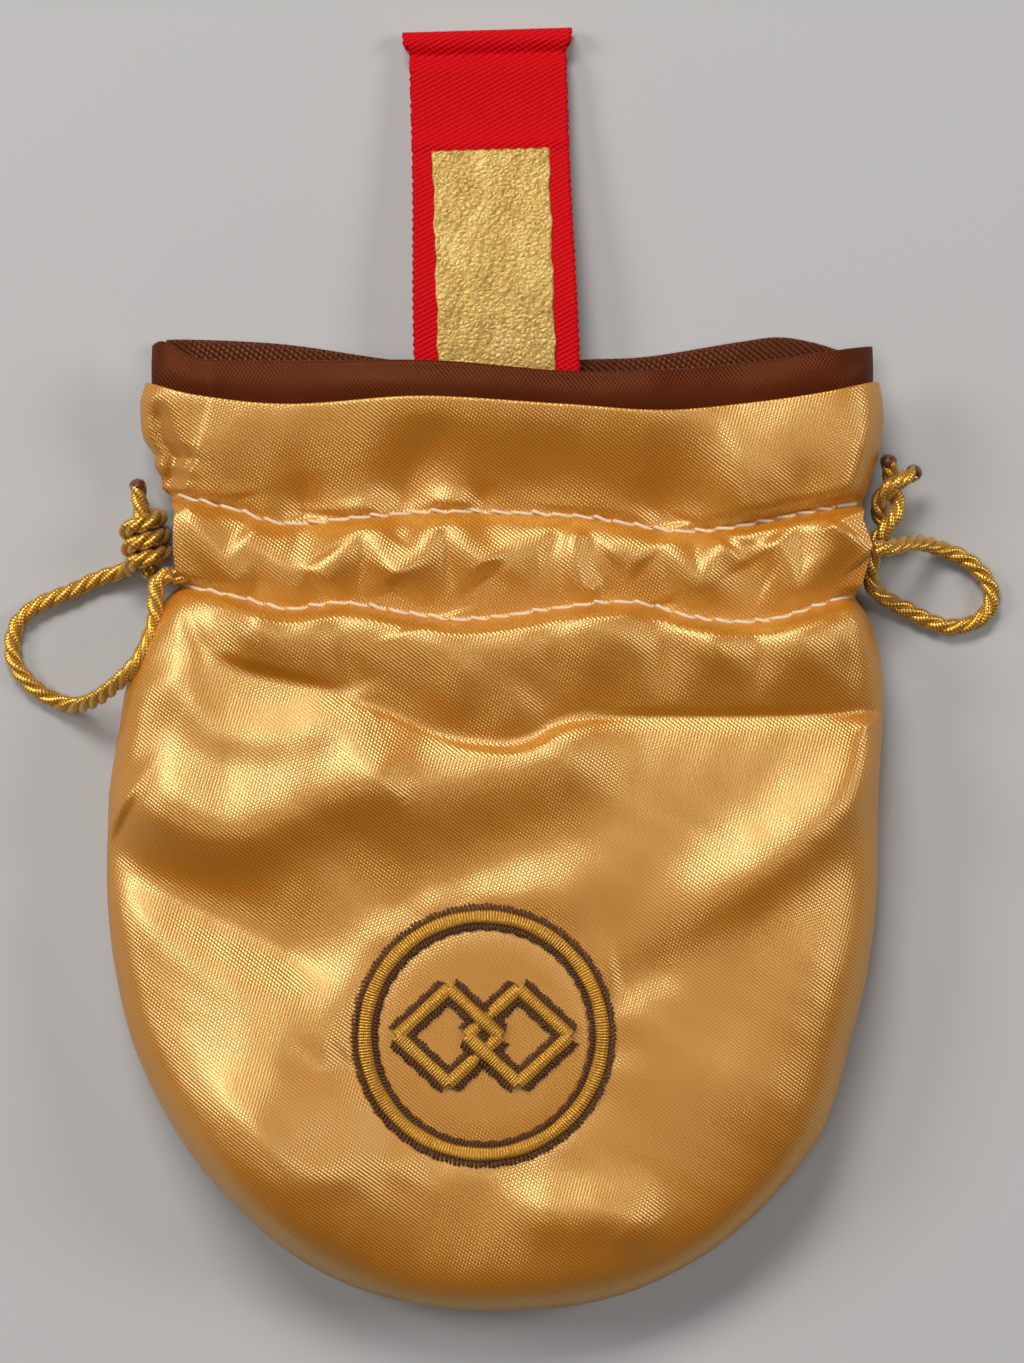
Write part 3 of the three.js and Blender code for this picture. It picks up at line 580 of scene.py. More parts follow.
def warped(x, y):
    """Moves the casing and frill from their level heights to where the photograph shows them."""
    lower = follow(LOWER_ROW, x) - LOWER_ROW_Y
    upper = follow(UPPER_ROW, x) - UPPER_ROW_Y
    edge = follow(FRONT_EDGE, x) - FRONT_EDGE_Y
    body = lower * smooth(WARP_START_Y, LOWER_ROW_Y, y)
    neck = mix(lower, upper, share_between(LOWER_ROW_Y, UPPER_ROW_Y, y))
    frill = mix(upper, edge, share_between(UPPER_ROW_Y, FRONT_EDGE_Y, y))
    return y + np.where(y < LOWER_ROW_Y, body, np.where(y < UPPER_ROW_Y, neck, frill))


@dataclass
class Fold:
    """A ridge of the cloth, or with a lift below zero a valley, along a line of pixels.

    lift and width are in millimetres; start and end are the shares of the line over which it fades.
    above is how many times wider the fold is on the side to the left of its line.
    """

    line: list
    lift: float
    width: float
    start: float
    end: float
    above: float = 1.0

    def height(self, x, y):
        px, py = mm_line(self.line).T
        reach = 3 * self.width * max(1.0, self.above)
        near = (x > px.min() - reach) & (x < px.max() + reach)
        near &= (y > py.min() - reach) & (y < py.max() + reach)
        out = np.zeros(x.shape)
        if near.any():
            distance, share, left = self.nearest(x[near], y[near])
            fade = smooth(0, self.start, share) * smooth(0, self.end, 1 - share)
            width = self.width * np.where(left, self.above, 1.0)
            out[near] = self.lift * fade * bell(distance, width)
        return out

    def nearest(self, x, y):
        """Distance of each point to the line, the share along it, and whether it lies to its left."""
        line = catmull(mm_line(self.line), 5)
        best = np.full(x.shape, np.inf)
        share = np.zeros(x.shape)
        left = np.zeros(x.shape, dtype=bool)
        for i in range(len(line) - 1):
            a, d = line[i], line[i + 1] - line[i]
            t = np.clip(((x - a[0]) * d[0] + (y - a[1]) * d[1]) / (d @ d), 0, 1)
            distance = np.hypot(x - a[0] - t * d[0], y - a[1] - t * d[1])
            closer = distance < best
            best = np.where(closer, distance, best)
            share = np.where(closer, (i + t) / (len(line) - 1), share)
            left = np.where(closer, d[0] * (y - a[1]) - d[1] * (x - a[0]) > 0, left)
        return best, share, left


@dataclass
class Mound:
    """A broad swell of the cloth around one pixel; its lift and reaches are in millimetres."""

    middle: tuple
    lift: float
    side: float
    up: float
    down: float

    def height(self, x, y):
        middle_x, middle_y = mm_at(*self.middle)
        along = np.where(y > middle_y, self.up, self.down)
        return self.lift * bell(x - middle_x, self.side) * bell(y - middle_y, along)


# Folds of the body, crest by crest
BODY_FOLDS = {
    "upper swag": Fold(
        [(150, 660), (192, 706), (228, 732), (285, 735), (335, 722), (385, 736)], 0.8, 3.2, 0.1, 0.3
    ),
    "lower swag": Fold(
        [
            (112, 778), (140, 796), (187, 820), (228, 830), (261, 823),
            (311, 800), (352, 780), (390, 756), (440, 742),
        ],
        2.8, 5.4, 0.22, 0.2, 1.4,
    ),
    "valley under the swags": Fold(
        [(100, 840), (160, 876), (230, 918), (300, 952), (370, 972)], -2.6, 4.2, 0.05, 0.3, 1.7
    ),
    "swell under the crease": Fold(
        [(330, 822), (385, 802), (450, 782), (520, 764), (580, 748), (640, 738)], 2.3, 7.5, 0.25, 0.3, 0.8
    ),
    "valley above the ring": Fold(
        [(300, 915), (370, 900), (450, 872), (540, 830), (620, 790)], -1.3, 6.0, 0.3, 0.4, 1.8
    ),
    "left belly": Mound((260, 1165), 5.8, 15.0, 18.0, 15.0),
    "above the ring": Fold([(400, 935), (450, 908), (520, 894), (600, 868), (680, 815)], 0.5, 4.8, 0.3, 0.4),
    "right shoulder": Fold(
        [(610, 945), (690, 905), (765, 860), (830, 808), (898, 748)], 2.6, 4.2, 0.5, 0.02, 1.3
    ),
    "left of the ring": Fold(
        [(180, 1062), (240, 1102), (298, 1162), (350, 1158), (388, 1130)], 0.6, 3.0, 0.3, 0.3
    ),
    "pucker left of the ring": Fold([(285, 1030), (325, 1062), (352, 1050)], -0.5, 2.4, 0.3, 0.1),
    "below the ring": Fold([(478, 1198), (560, 1206), (620, 1212), (658, 1250)], 1.4, 3.8, 0.3, 0.3),
    "right of the ring": Fold([(612, 976), (650, 968), (720, 930)], -0.5, 2.8, 0.1, 0.5),
    "right side": Fold([(850, 880), (810, 980), (770, 1070), (710, 1140)], 1.2, 7.0, 0.3, 0.3),
    "notch": Fold([(884, 716), (864, 722), (846, 736)], 0.7, 1.0, 0.02, 0.5),
}

# Pleats that run down from the lower stitch row, and the puff that they ride on
PLEATS = {
    "neck puff": Fold(
        [
            (150, 590), (200, 602), (290, 621), (345, 615), (420, 627), (480, 631),
            (560, 620), (620, 614), (700, 631), (770, 632), (868, 606), (900, 598),
        ],
        3.4, 8.0, 0.08, 0.02, 0.16,
    ),
    "neck sag": Fold([(420, 680), (470, 705), (510, 712), (545, 700)], 0.6, 4.0, 0.3, 0.3),
    "left corner": Fold([(186, 592), (192, 630), (214, 664)], -1.8, 1.2, 0.1, 0.3),
    "left swell": Fold([(262, 606), (262, 640), (290, 672)], 0.6, 3.0, 0.1, 0.6),
    "left dip": Fold([(341, 606), (345, 640), (360, 700)], -0.7, 2.6, 0.1, 0.15),
    "middle swell": Fold([(430, 618), (445, 660), (470, 725)], 0.9, 4.4, 0.1, 0.4),
    "middle dip": Fold([(548, 616), (552, 660), (548, 715)], -0.5, 3.0, 0.1, 0.5),
    "right of middle": Fold([(590, 608), (600, 650), (590, 700)], 0.3, 2.6, 0.1, 0.6),
    "dark V": Fold([(648, 604), (660, 640), (668, 706)], -1.2, 2.8, 0.1, 0.4),
    "bright pleat": Fold([(704, 620), (710, 650), (712, 690)], 0.7, 2.2, 0.1, 0.6),
    "right dip": Fold([(754, 622), (756, 650), (750, 706)], -0.8, 2.0, 0.1, 0.4),
    "right swell": Fold([(795, 618), (800, 650), (800, 700)], 0.5, 2.8, 0.1, 0.6),
    "right corner": Fold([(836, 602), (846, 640), (850, 704)], -0.6, 1.6, 0.1, 0.4),
}

# Crests that the drawn cord raises in the casing, from the left end to the right
CRESTS = {
    "left end": Fold([(186, 506), (208, 540), (237, 576), (262, 590)], 0.94, 2.3, 0.05, 0.3),
    "left patch": Fold([(240, 530), (262, 548), (290, 574), (322, 592)], 0.86, 3.0, 0.2, 0.2),
    "first V": Fold([(318, 590), (340, 560), (366, 526), (382, 556), (397, 590)], 1.5, 2.8, 0.1, 0.1),
    "second V": Fold([(397, 592), (420, 560), (446, 518), (466, 548), (490, 578)], 1.6, 2.9, 0.1, 0.1),
    "broad middle": Fold([(490, 584), (515, 552), (540, 535), (560, 545)], 0.78, 3.2, 0.2, 0.3),
    "upright": Fold([(574, 526), (574, 560), (582, 588), (604, 592)], 1.01, 1.6, 0.1, 0.2),
    "small swell": Fold([(604, 560), (625, 548), (648, 566)], 0.7, 2.7, 0.2, 0.2),
    "third V": Fold([(662, 532), (680, 562), (696, 584), (710, 560), (726, 540)], 1.17, 2.3, 0.1, 0.1),
    "right U": Fold([(770, 534), (784, 566), (798, 588), (814, 566), (842, 522)], 1.33, 2.6, 0.1, 0.05),
    "right end": Fold([(838, 520), (850, 545), (864, 560)], 0.78, 2.2, 0.1, 0.1),
    "left hollow": Fold([(290, 535), (318, 545), (330, 560)], -0.31, 2.4, 0.2, 0.2),
    "middle hollow": Fold([(400, 545), (408, 535), (420, 530)], -0.31, 2.2, 0.2, 0.2),
    "right hollow": Fold([(742, 560), (754, 580), (768, 588)], -0.31, 2.7, 0.2, 0.2),
}

# Tucks that run up from the upper stitch row into the frill
TUCKS = {
    "frill flare": Fold([(330, 398), (420, 394), (560, 402), (660, 408), (740, 400)], 2.4, 7.5, 0.3, 0.3),
    "right flare": Fold([(690, 520), (760, 502), (830, 488), (905, 478)], 3.8, 5.0, 0.3, 0.02, 2.2),
    "left flare": Fold([(196, 482), (250, 492), (310, 506)], 0.6, 4.0, 0.05, 0.4, 2.0),
    "turned back edge": Fold([(158, 398), (170, 436), (183, 462), (183, 496)], -1.3, 1.1, 0.2, 0.02),
    "left gather": Fold([(150, 446), (164, 466), (180, 478)], 0.8, 0.9, 0.1, 0.2),
    "lower left gather": Fold([(156, 474), (168, 486), (182, 494)], 0.8, 0.8, 0.1, 0.2),
    "left frill": Fold([(226, 506), (214, 460), (206, 410)], 0.8, 3.4, 0.05, 0.5),
    "left dip": Fold([(309, 522), (306, 500), (296, 470)], -0.9, 2.0, 0.05, 0.6),
    "left swell": Fold([(350, 518), (352, 470), (330, 420)], 0.6, 4.6, 0.05, 0.5),
    "valley": Fold([(406, 516), (410, 490), (430, 450), (455, 412)], -1.0, 3.2, 0.05, 0.4),
    "middle swell": Fold([(448, 512), (470, 470), (500, 420)], 0.2, 4.2, 0.05, 0.5),
    "middle dip": Fold([(480, 514), (484, 500), (496, 480)], -0.6, 1.8, 0.05, 0.6),
    "right of middle": Fold([(590, 518), (600, 470), (620, 420)], 0.6, 5.4, 0.05, 0.5),
    "right dip": Fold([(664, 528), (660, 506), (640, 470)], -1.0, 2.8, 0.05, 0.6),
    "right swell": Fold([(712, 532), (730, 490), (770, 430)], 0.6, 4.4, 0.05, 0.5),
    "right valley": Fold([(790, 516), (800, 490), (810, 450)], -0.5, 2.4, 0.05, 0.6),
    "right end": Fold([(846, 505), (856, 470), (866, 420)], 0.5, 2.4, 0.05, 0.3),
}

# The neck and the body both dip to the crease between them: depths in millimetres by pixel column
CREASE_STARTS = (205, 262)
DIP_COLUMNS = (190, 230, 330, 430, 535, 600, 880)
NECK_DIP = (0.0, 0.5, 1.0, 1.2, 1.3, 2.0, 2.3)
BODY_DIP = (0.0, 0.4, 0.8, 0.7, 0.7, 1.1, 1.3)
NECK_DIP_REACH = 6.0
BODY_DIP_REACH = 5.5
CREASE_EDGE = 1.6


def crease(x, y):
    """The neck falls to the crease, and from there the body rises at once and then slowly."""
    column = PX_ORIGIN[0] + x * PX_PER_MM
    drop = y - follow(CREASE, x)
    neck = np.interp(column, DIP_COLUMNS, NECK_DIP)
    body = np.interp(column, DIP_COLUMNS, BODY_DIP)
    above = neck * np.exp(-np.maximum(drop, 0) / NECK_DIP_REACH)
    under = np.minimum(drop, 0)
    below = body * np.exp(under / BODY_DIP_REACH) + (neck - body) * np.exp(under / CREASE_EDGE)
    return -np.where(drop > 0, above, below)


# The stitched ring: how deep and wide it draws the cloth in, and the height, reach and count of its puckers
PULL_DEPTH = 0.4
PULL_WIDTH = 2.4
PUCKER_HEIGHT = 0.14
PUCKER_REACH = 4.0
PUCKERS = 11


def embroidery_pull(x, y):
    """The stitched ring draws the cloth down along its line and puckers it just outside."""
    beyond = np.hypot(x - RING_X, y - RING_Y) - RING_RADIUS
    angle = np.arctan2(y - RING_Y, x - RING_X)
    sunk = bell(beyond + RING_BAND / 2, PULL_WIDTH)
    rays = bell(np.maximum(beyond, 0), PUCKER_REACH) * smooth(-1.0, 0.5, beyond)
    return PUCKER_HEIGHT * rays * np.sin(PUCKERS * angle + 2.0 * np.sin(3 * angle)) - PULL_DEPTH * sunk


def inside_ring(x, y):
    """1 inside the stitched ring, where the cloth is held flat."""
    return 1 - smooth(RING_RADIUS - 3.0, RING_RADIUS + 4.0, np.hypot(x - RING_X, y - RING_Y))


def ripples(x, y):
    """Small uneven waves that keep the cloth from looking machined."""
    slow = np.sin(0.21 * x + 0.9 * np.sin(0.13 * y)) * np.sin(0.17 * y + 1.3)
    fine = np.sin(0.9 * x + 0.4 * y + 1.5 * np.sin(0.3 * y)) * np.sin(0.5 * y - 0.2 * x)
    return 0.22 * slow + 0.04 * fine


def below_crease(x, y):
    """1 on the body and 0 on the neck that hangs over it."""
    drop = y - follow(CREASE, x)
    left_end, right_end = (mm_at(px, 0)[0] for px in CREASE_STARTS)
    return 1 - smooth(-1.0, 1.4, drop) * smooth(left_end, right_end, x)


# Share of the pleats that ends at the crease, and of the folds that the ring holds flat
PLEATS_END = 0.8
HELD_FLAT = 0.75


def folds_height(folds, x, y):
    return sum(fold.height(x, y) for fold in folds.values())


def relief(x, y):
    """All folds together, in millimetres above the plain shape."""
    body = below_crease(x, y)
    height = crease(x, y) + ripples(x, y) + folds_height(CRESTS, x, y) + folds_height(TUCKS, x, y)
    height += body * folds_height(BODY_FOLDS, x, y)
    height += (1 - PLEATS_END * body) * folds_height(PLEATS, x, y)
    return height * (1 - HELD_FLAT * inside_ring(x, y)) + embroidery_pull(x, y)


# How far from a stitch row the cloth is drawn in, how deep, and the share of the folds that ends there
ROW_REACH = 1.0
ROW_DIP = 0.2
ROW_HOLD = 0.6


def near_rows(level, reach):
    """About 1 along both stitch rows, where the thread draws the cloth in."""
    return bell(level - LOWER_ROW_Y, reach) + bell(level - UPPER_ROW_Y, reach)


def front_height(x, level):
    """Top of the front satin at x and a height on the uncreased pouch."""
    risen = mix(swell(x, level), 1.0, tunnel(level))
    stitched = near_rows(level, ROW_REACH)
    free = smooth(0.15, 0.95, risen) * (1 - ROW_HOLD * np.minimum(stitched, 1))
    base = mix(SEAM_Z, satin_top(level), risen)
    return base + relief(x, warped(x, level)) * free - ROW_DIP * stitched * risen


# How far round a half circle the columns of a cloth are spread, and the least half width of its rows
COLUMN_SPREAD = 0.985 * math.pi / 2
LEAST_WIDTH = 0.02


def cloth_grid(levels, columns, inset=0.0):
    """Rows of points across the pouch, closer together near the seams: x and level arrays."""
    share = np.sin(np.linspace(-1, 1, columns) * COLUMN_SPREAD) / math.sin(COLUMN_SPREAD)
    level = np.repeat(np.asarray(levels)[:, None], columns, axis=1)
    width = np.maximum(half_width(level) - inset, LEAST_WIDTH)
    return sway(np.maximum(level, WIDEST_Y)) + share[None, :] * width, level


def body_levels(top, count):
    """Heights of the rows from the bottom of the pouch to its top, closer together at the bottom."""
    turn = np.linspace(-math.pi / 2, 0, count // 2)
    bottom = WIDEST_Y - BOTTOM_DEPTH * np.abs(np.sin(turn)) ** (2 / BOTTOM_POWER)
    bottom[0] += LEAST_WIDTH
    return np.concatenate([bottom, np.linspace(WIDEST_Y, top, count // 2 + count // 4)[1:]])


def folded_sheet(name, outside, inside, roll, material):
    """Cloth with two faces joined by a rolled edge at the top: rows of points from the bottom up."""
    middle = (outside[-1] + inside[-1]) / 2
    radius = (outside[-1] - inside[-1]) / 2
    turns = [
        middle + radius * math.cos(angle) + np.array([0, roll * math.sin(angle), 0])
        for angle in np.linspace(0, math.pi, 9)[1:-1]
    ]
    rows = np.concatenate([outside, np.array(turns), inside[::-1]])
    count, columns = rows.shape[:2]
    faces = grid_faces(count, columns)
    last = count - 1
    for i in range(min(len(outside), len(inside)) - 1):
        low, high = len(outside) - 2 - i, len(outside) - 1 - i
        low_in, high_in = last - (len(inside) - 2 - i), last - (len(inside) - 1 - i)
        for column, order in ((0, 1), (columns - 1, -1)):
            side = [row * columns + column for row in (low, high, high_in, low_in)]
            faces.append(side[::order])
    uv = (rows[..., :2] / 100.0).reshape(-1, 2)
    return make_mesh(name, rows.reshape(-1, 3), faces, material, uv)


# How far each side of the cloth stands to the right of the plain outline, at each height: millimetres
LEFT_SIDE = [
    (-78, 0.9), (-70, 1.3), (-60, 0.7), (-48, 0), (-30, 0), (-16, 0.4), (-8, 1.3), (-2, 1.2), (4.5, 0.4),
    (7.6, 0), (17, 0), (19.2, -1.2), (20.4, -2.0), (22, -1.4), (23.4, -1.5), (25, -0.7), (27, -1.1),
    (30, -0.5), (34, 0),
]
RIGHT_SIDE = [
    (-84, 1.4), (-78, 0.6), (-70, 0.7), (-60, 1.3), (-48, -0.2), (-30, 0), (-16, 0), (-8, 0.3), (-2, 0.2),
    (4.5, -0.4), (7.6, -1.2), (10.5, -0.6), (14, 0), (17, -1.0), (19.2, -0.2), (20.4, 0),
]
SIDE_START = 0.55


def outlined(x, level):
    """Moves the sides of the cloth from the plain outline to the uneven one in the photograph."""
    share = (x - sway(np.maximum(level, WIDEST_Y))) / np.maximum(half_width(level), 1.0)
    left = np.interp(level, *zip(*LEFT_SIDE)) * smooth(SIDE_START, 1.0, -share)
    right = np.interp(level, *zip(*RIGHT_SIDE)) * smooth(SIDE_START, 1.0, share)
    return x + left + right


def ply(points, thickness):
    """The other face of a cloth, its thickness lower."""
    return points - np.array([0, 0, thickness])


def dress(obj, body, slot, *nodes):
    """Says which body a piece rides on and hides the solids that it stands for; slot, what it is made of, is
    not used.
    """
    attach(obj, body)
    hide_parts(*nodes)


SATIN_PLY = 0.5
SATIN_ROLL = 0.3


def front_satin():
    x, level = cloth_grid(body_levels(FRONT_EDGE_Y, 260), 280)
    outside = np.stack([outlined(x, level), warped(x, level), front_height(x, level)], axis=-1)
    obj = folded_sheet("front_satin", outside, ply(outside, SATIN_PLY), SATIN_ROLL, SATIN)
    dress(obj, "pouch", "gold_satin", "front_panel")


# How far the back of the frill is drawn in behind the front
FRILL_TUCK = 1.6


def back_inset(levels, plain):
    """The back of the frill is drawn in behind the front, row by row."""
    return plain + FRILL_TUCK * smooth(UPPER_ROW_Y - 3.0, UPPER_ROW_Y + 2.0, np.asarray(levels))[:, None]


def back_warped(x, level):
    rim = follow(BACK_RIM, x) - RIM_Y
    return level + rim * smooth(UPPER_ROW_Y, BACK_EDGE_Y, level)


def seam_curl(x, level):
    """0 where the back lies flat, rising to 1 at the seam."""
    t = share_between(BACK_FLAT_SHARE, 1, outness(x, level))
    return 1 - np.sqrt(1 - t**2)


# How far from a stitch row the back is drawn up, how high, and the height of its slow waves
BACK_ROW_REACH = 1.2
BACK_ROW_LIFT = 0.35
BACK_WAVES = 0.12


def back_satin():
    """Lies flat and curls up to the seam, but not at the casing's open sides."""
    levels = body_levels(BACK_EDGE_Y, 120)
    x, level = cloth_grid(levels, 140, back_inset(levels, 0.0))
    curl = seam_curl(x, level) * (1 - tunnel(level))
    waves = BACK_WAVES * (1 + np.sin(0.5 * x + np.sin(0.2 * level)))
    height = SEAM_Z * curl + (BACK_ROW_LIFT * near_rows(level, BACK_ROW_REACH) + waves) * (1 - curl)
    outside = np.stack([outlined(x, level), back_warped(x, level), height], axis=-1)
    obj = folded_sheet("back_satin", outside, ply(outside, -SATIN_PLY), SATIN_ROLL, SATIN)
    dress(obj, "pouch", "gold_satin", "back_panel")


# The lining: thickness of its turned rim, insets in front and behind, how far it hangs under the satin, its
# height under the casing, how far the rim lies under the satin, and where that begins; behind, its height
# above the table and how much it rises in the casing and at its rim
RIM_THICK = 0.9
LINING_INSET = 1.1
BACK_LINING_INSET = 0.9
LINING_DROP = 2.2
CASING_LINING_Z = 8.9
RIM_DROP = 0.85
RIM_START_Y = UPPER_ROW_Y + 9
BACK_LINING_Z = 1.4
BACK_CASING_RISE = 1.8
BACK_RIM_RISE = 0.4


def front_lining():
    """The brown lining stands above the satin in front, turns over and goes down inside the pouch."""
    rim_rows = np.linspace(FRONT_EDGE_Y, FRONT_EDGE_Y + RIM_STAND, 24)

    def rows(low):
        x, level = cloth_grid(np.concatenate([low, rim_rows]), 220, LINING_INSET)
        along = share_between(0, RIM_STAND, level - FRONT_EDGE_Y)
        rim = mix(follow(FRONT_EDGE, x), follow(FRONT_RIM, x), along)
        y = np.where(level < FRONT_EDGE_Y, warped(x, level), rim)
        flat = np.minimum(level, FRONT_EDGE_Y - 0.2)
        top = mix(satin_top(flat) - LINING_DROP, CASING_LINING_Z, tunnel(flat))
        plain = mix(SEAM_Z, top, swell(x, flat))
        under = mix(plain, front_height(x, flat) - RIM_DROP, smooth(UPPER_ROW_Y + 3, RIM_START_Y, flat))
        bow = 0.5 * np.sin(math.pi * along) + 0.22 * along * np.sin(0.33 * x + 1.0) - 0.5 * along
        return np.stack([outlined(x, level), y, under + bow], axis=-1)

    outside = rows(np.linspace(RIM_START_Y, FRONT_EDGE_Y, 14)[:-1])
    hidden = np.concatenate([np.linspace(-60, 20, 34), np.linspace(21, FRONT_EDGE_Y, 16)[:-1]])
    inside = ply(rows(hidden), RIM_THICK)
    obj = folded_sheet("front_lining_cloth", outside, inside, 0.5, LINING)
    dress(obj, "pouch", "brown_lining", "front_lining")


def back_lining():
    """Inside of the back, which shows behind the ribbon, and its rim turned over the back satin."""

    def rows(levels, lift):
        x, level = cloth_grid(levels, 180, back_inset(levels, BACK_LINING_INSET))
        rise = BACK_CASING_RISE * tunnel(level) + BACK_RIM_RISE * smooth(UPPER_ROW_Y, RIM_Y, level)
        waves = 0.45 * smooth(24.0, RIM_Y, level) * np.sin(0.22 * x + 0.8)
        height = mix(BACK_LINING_Z + lift + rise + waves, SEAM_Z, seam_curl(x, level))
        return np.stack([outlined(x, level), back_warped(x, level), height], axis=-1)

    upper = np.linspace(28.0, RIM_Y, 26)
    outside = rows(upper, -0.4)
    inside = rows(np.concatenate([np.linspace(-70, 27, 50), upper]), 0.4)
    obj = folded_sheet("back_lining_cloth", outside, inside, 0.4, INSIDE_LINING_PAINTED_SHEEN)
    dress(obj, "pouch", "brown_lining", "back_lining")


# Stitching

STITCH = 2.6
ROW_THREAD = 0.25
ROW_SLANT = 0.24
SLANT_CHANGE = 0.583
ROW_SHARE = 0.975
ROW_STAND = 0.15
BACK_ROW_Z = 2.2
SEAM_STITCH = 2.2
SEAM_THREAD = 0.16
SEAM_STAND = 0.55
SEAM_INSET = 0.992
SEAM_RADIUS = BODY_WIDTH / 2 + 5


def running_stitches(name, node, places, radius, slant, material, slot):
    """A row of stitches: each rises out of the cloth and dives in beside the next one.

    places holds x, y and z, each with a row for each stitch, from one needle hole to the next.
    """
    x, y, z = places
    t = np.linspace(0, 1, x.shape[1])
    lift = radius * (2.1 * np.sin(np.pi * t) ** 0.5 - 1.1)
    lean = slant * (1 + SLANT_CHANGE * np.sin(2.3 * np.arange(len(x))))
    lines = np.stack([x, y + lean[:, None] * (1 - 2 * t), z + lift], axis=-1)
    obj = join_tubes(name, lines, radius, 6, material)
    dress(obj, "pouch", slot, node)


def stitch_spans(start, end, pitch):
    """Places along a row, a line of them for each stitch, overlapping a little."""
    count = round((end - start) / pitch)
    ends = np.linspace(start, end, count + 1)
    t = np.linspace(0.0, 1.02, 11)
    return ends[:-1, None] + t[None, :] * (ends[1:] - ends[:-1])[:, None]


def stitching():
    for side in ("front", "back"):
        for row, level in (("lower", LOWER_ROW_Y), ("upper", UPPER_ROW_Y)):
            reach = ROW_SHARE * float(half_width(np.array(level)))
            middle = float(sway(np.array(level)))
            x = stitch_spans(middle - reach, middle + reach, STITCH)
            levels = np.full_like(x, level)
            if side == "front":
                y, z = warped(x, levels), front_height(x, levels) + ROW_STAND
            else:
                y, z = back_warped(x, levels), np.full_like(x, BACK_ROW_Z)
            name = f"{side}_{row}_stitch"
            places = outlined(x, levels), y, z
            running_stitches(name + "es", name, places, ROW_THREAD, ROW_SLANT, CREAM, "cream_thread")


def seam_stitches():
    """Small stitches round the seam that joins the front and the back."""
    turn = stitch_spans(-math.pi, 0.0, SEAM_STITCH / SEAM_RADIUS)
    grow = 2 / BOTTOM_POWER
    across = np.sign(np.cos(turn)) * BODY_WIDTH / 2 * np.abs(np.cos(turn)) ** grow
    down = BOTTOM_DEPTH * np.abs(np.sin(turn)) ** grow
    x = BODY_SWAY + SEAM_INSET * across
    y = WIDEST_Y - SEAM_INSET * down
    places = outlined(x, y), y, np.full_like(x, SEAM_Z + SEAM_STAND)
    running_stitches("seam_stitches", "side_seam_thread", places, SEAM_THREAD, 0.0, GOLD, "gold_thread")


# Embroidery

GOLD_PITCH = 0.36
EDGE_PITCH = 0.5
GOLD_THREAD = 0.21
EDGE_THREAD = 0.19
EDGE_REACH = 0.42
EDGE_LEAN = 0.22
GOLD_LIFT = 0.25
EDGE_LIFT = 0.1
RING_ARCH = 0.6
MOTIF_ARCH = 0.5
EDGE_ARCH = 0.3
MOTIF_HALF = GOLD_BAND / 2 - 0.05
MOTIF_EDGE = GOLD_BAND / 2 + 0.3
CROSSING_LIFT = 0.55
CROSSING_WIDTH = 1.7
CROSSING_EDGE = 0.6


def arched(x, y, lift, arch, t):
    """Threads that lie on the cloth, one in each row of x and y, arching from end to end."""
    z = front_height(x, y) + lift[:, None] + arch * np.sqrt(np.maximum(0, 1 - t**2))
    return list(np.stack([x, y, z], axis=-1))


def satin_column(middle, across, half, lift, arch):
    """Threads side by side over a line of points, each from one edge of the column to the other."""
    t = np.linspace(-1, 1, 7)
    side = half * (1 + 0.05 * np.sin(12.9 * np.arange(len(middle))))[:, None] * t
    x = middle[:, :1] + across[:, :1] * side
    y = middle[:, 1:] + across[:, 1:] * side
    return arched(x, y, lift, arch, t)


def edge_stitches(line, offset, lift):
    """Short slanted stitches along both sides of a gold column."""
    middle, across, along = line
    t = np.linspace(-1, 1, 5)
    reach = EDGE_REACH + 0.1 * np.sin(7.7 * np.arange(len(middle)))
    threads = []
    for sign in (1, -1):
        side = sign * (offset + reach[:, None] * t)
        x = middle[:, :1] + across[:, :1] * side + along[:, :1] * EDGE_LEAN * t
        y = middle[:, 1:] + across[:, 1:] * side + along[:, 1:] * EDGE_LEAN * t
        threads += arched(x, y, lift, EDGE_ARCH, t)
    return threads


def ring_line(pitch):
    """Points round the middle of the ring's band, with the directions across and along it."""
    radius = RING_RADIUS - RING_BAND / 2
    count = round(2 * math.pi * radius / pitch)
    angle = np.arange(count) / count * 2 * math.pi
    across = np.stack([np.cos(angle), np.sin(angle)], axis=1)
    along = np.stack([-across[:, 1], across[:, 0]], axis=1)
    return np.array([RING_X, RING_Y]) + radius * across, across, along


def straight_line(a, b, pitch):
    length = np.linalg.norm(b - a)
    count = max(2, round(length / pitch))
    share = (np.arange(count) + 0.5) / count
    along = np.repeat(((b - a) / length)[None], count, axis=0)
    across = np.stack([-along[:, 1], along[:, 0]], axis=1)
    return a + share[:, None] * (b - a), across, along


def embroidered(name, gold, brown):
    """The gold threads of a figure and its brown edge, as two pieces."""
    obj = join_tubes(f"{name}_gold_thread", gold, GOLD_THREAD, 5, GOLD)
    dress(obj, "pouch", "gold_thread", f"{name}_gold")
    obj = join_tubes(f"{name}_brown_thread", brown, EDGE_THREAD, 5, BROWN)
    dress(obj, "pouch", "brown_thread", f"{name}_edge")


def ring():
    line, across, _ = ring_line(GOLD_PITCH)
    gold = satin_column(line, across, GOLD_BAND / 2, np.full(len(line), GOLD_LIFT), RING_ARCH)
    edge = ring_line(EDGE_PITCH)
    brown = edge_stitches(edge, RING_BAND / 2 - EDGE_REACH, np.full(len(edge[0]), EDGE_LIFT))
    embroidered("ring", gold, brown)


def crossing_lift(line, over):
    """Raises a lozenge's line where it passes over the other one: at the top for 1, at the bottom for -1."""
    height = LOZENGE[1] / 2 * (1 - LOZENGE_SHIFT / (LOZENGE[0] / 2))
    distance = np.hypot(line[:, 0] - RING_X, line[:, 1] - RING_Y - over * height)
    return CROSSING_LIFT * bell(distance, CROSSING_WIDTH)


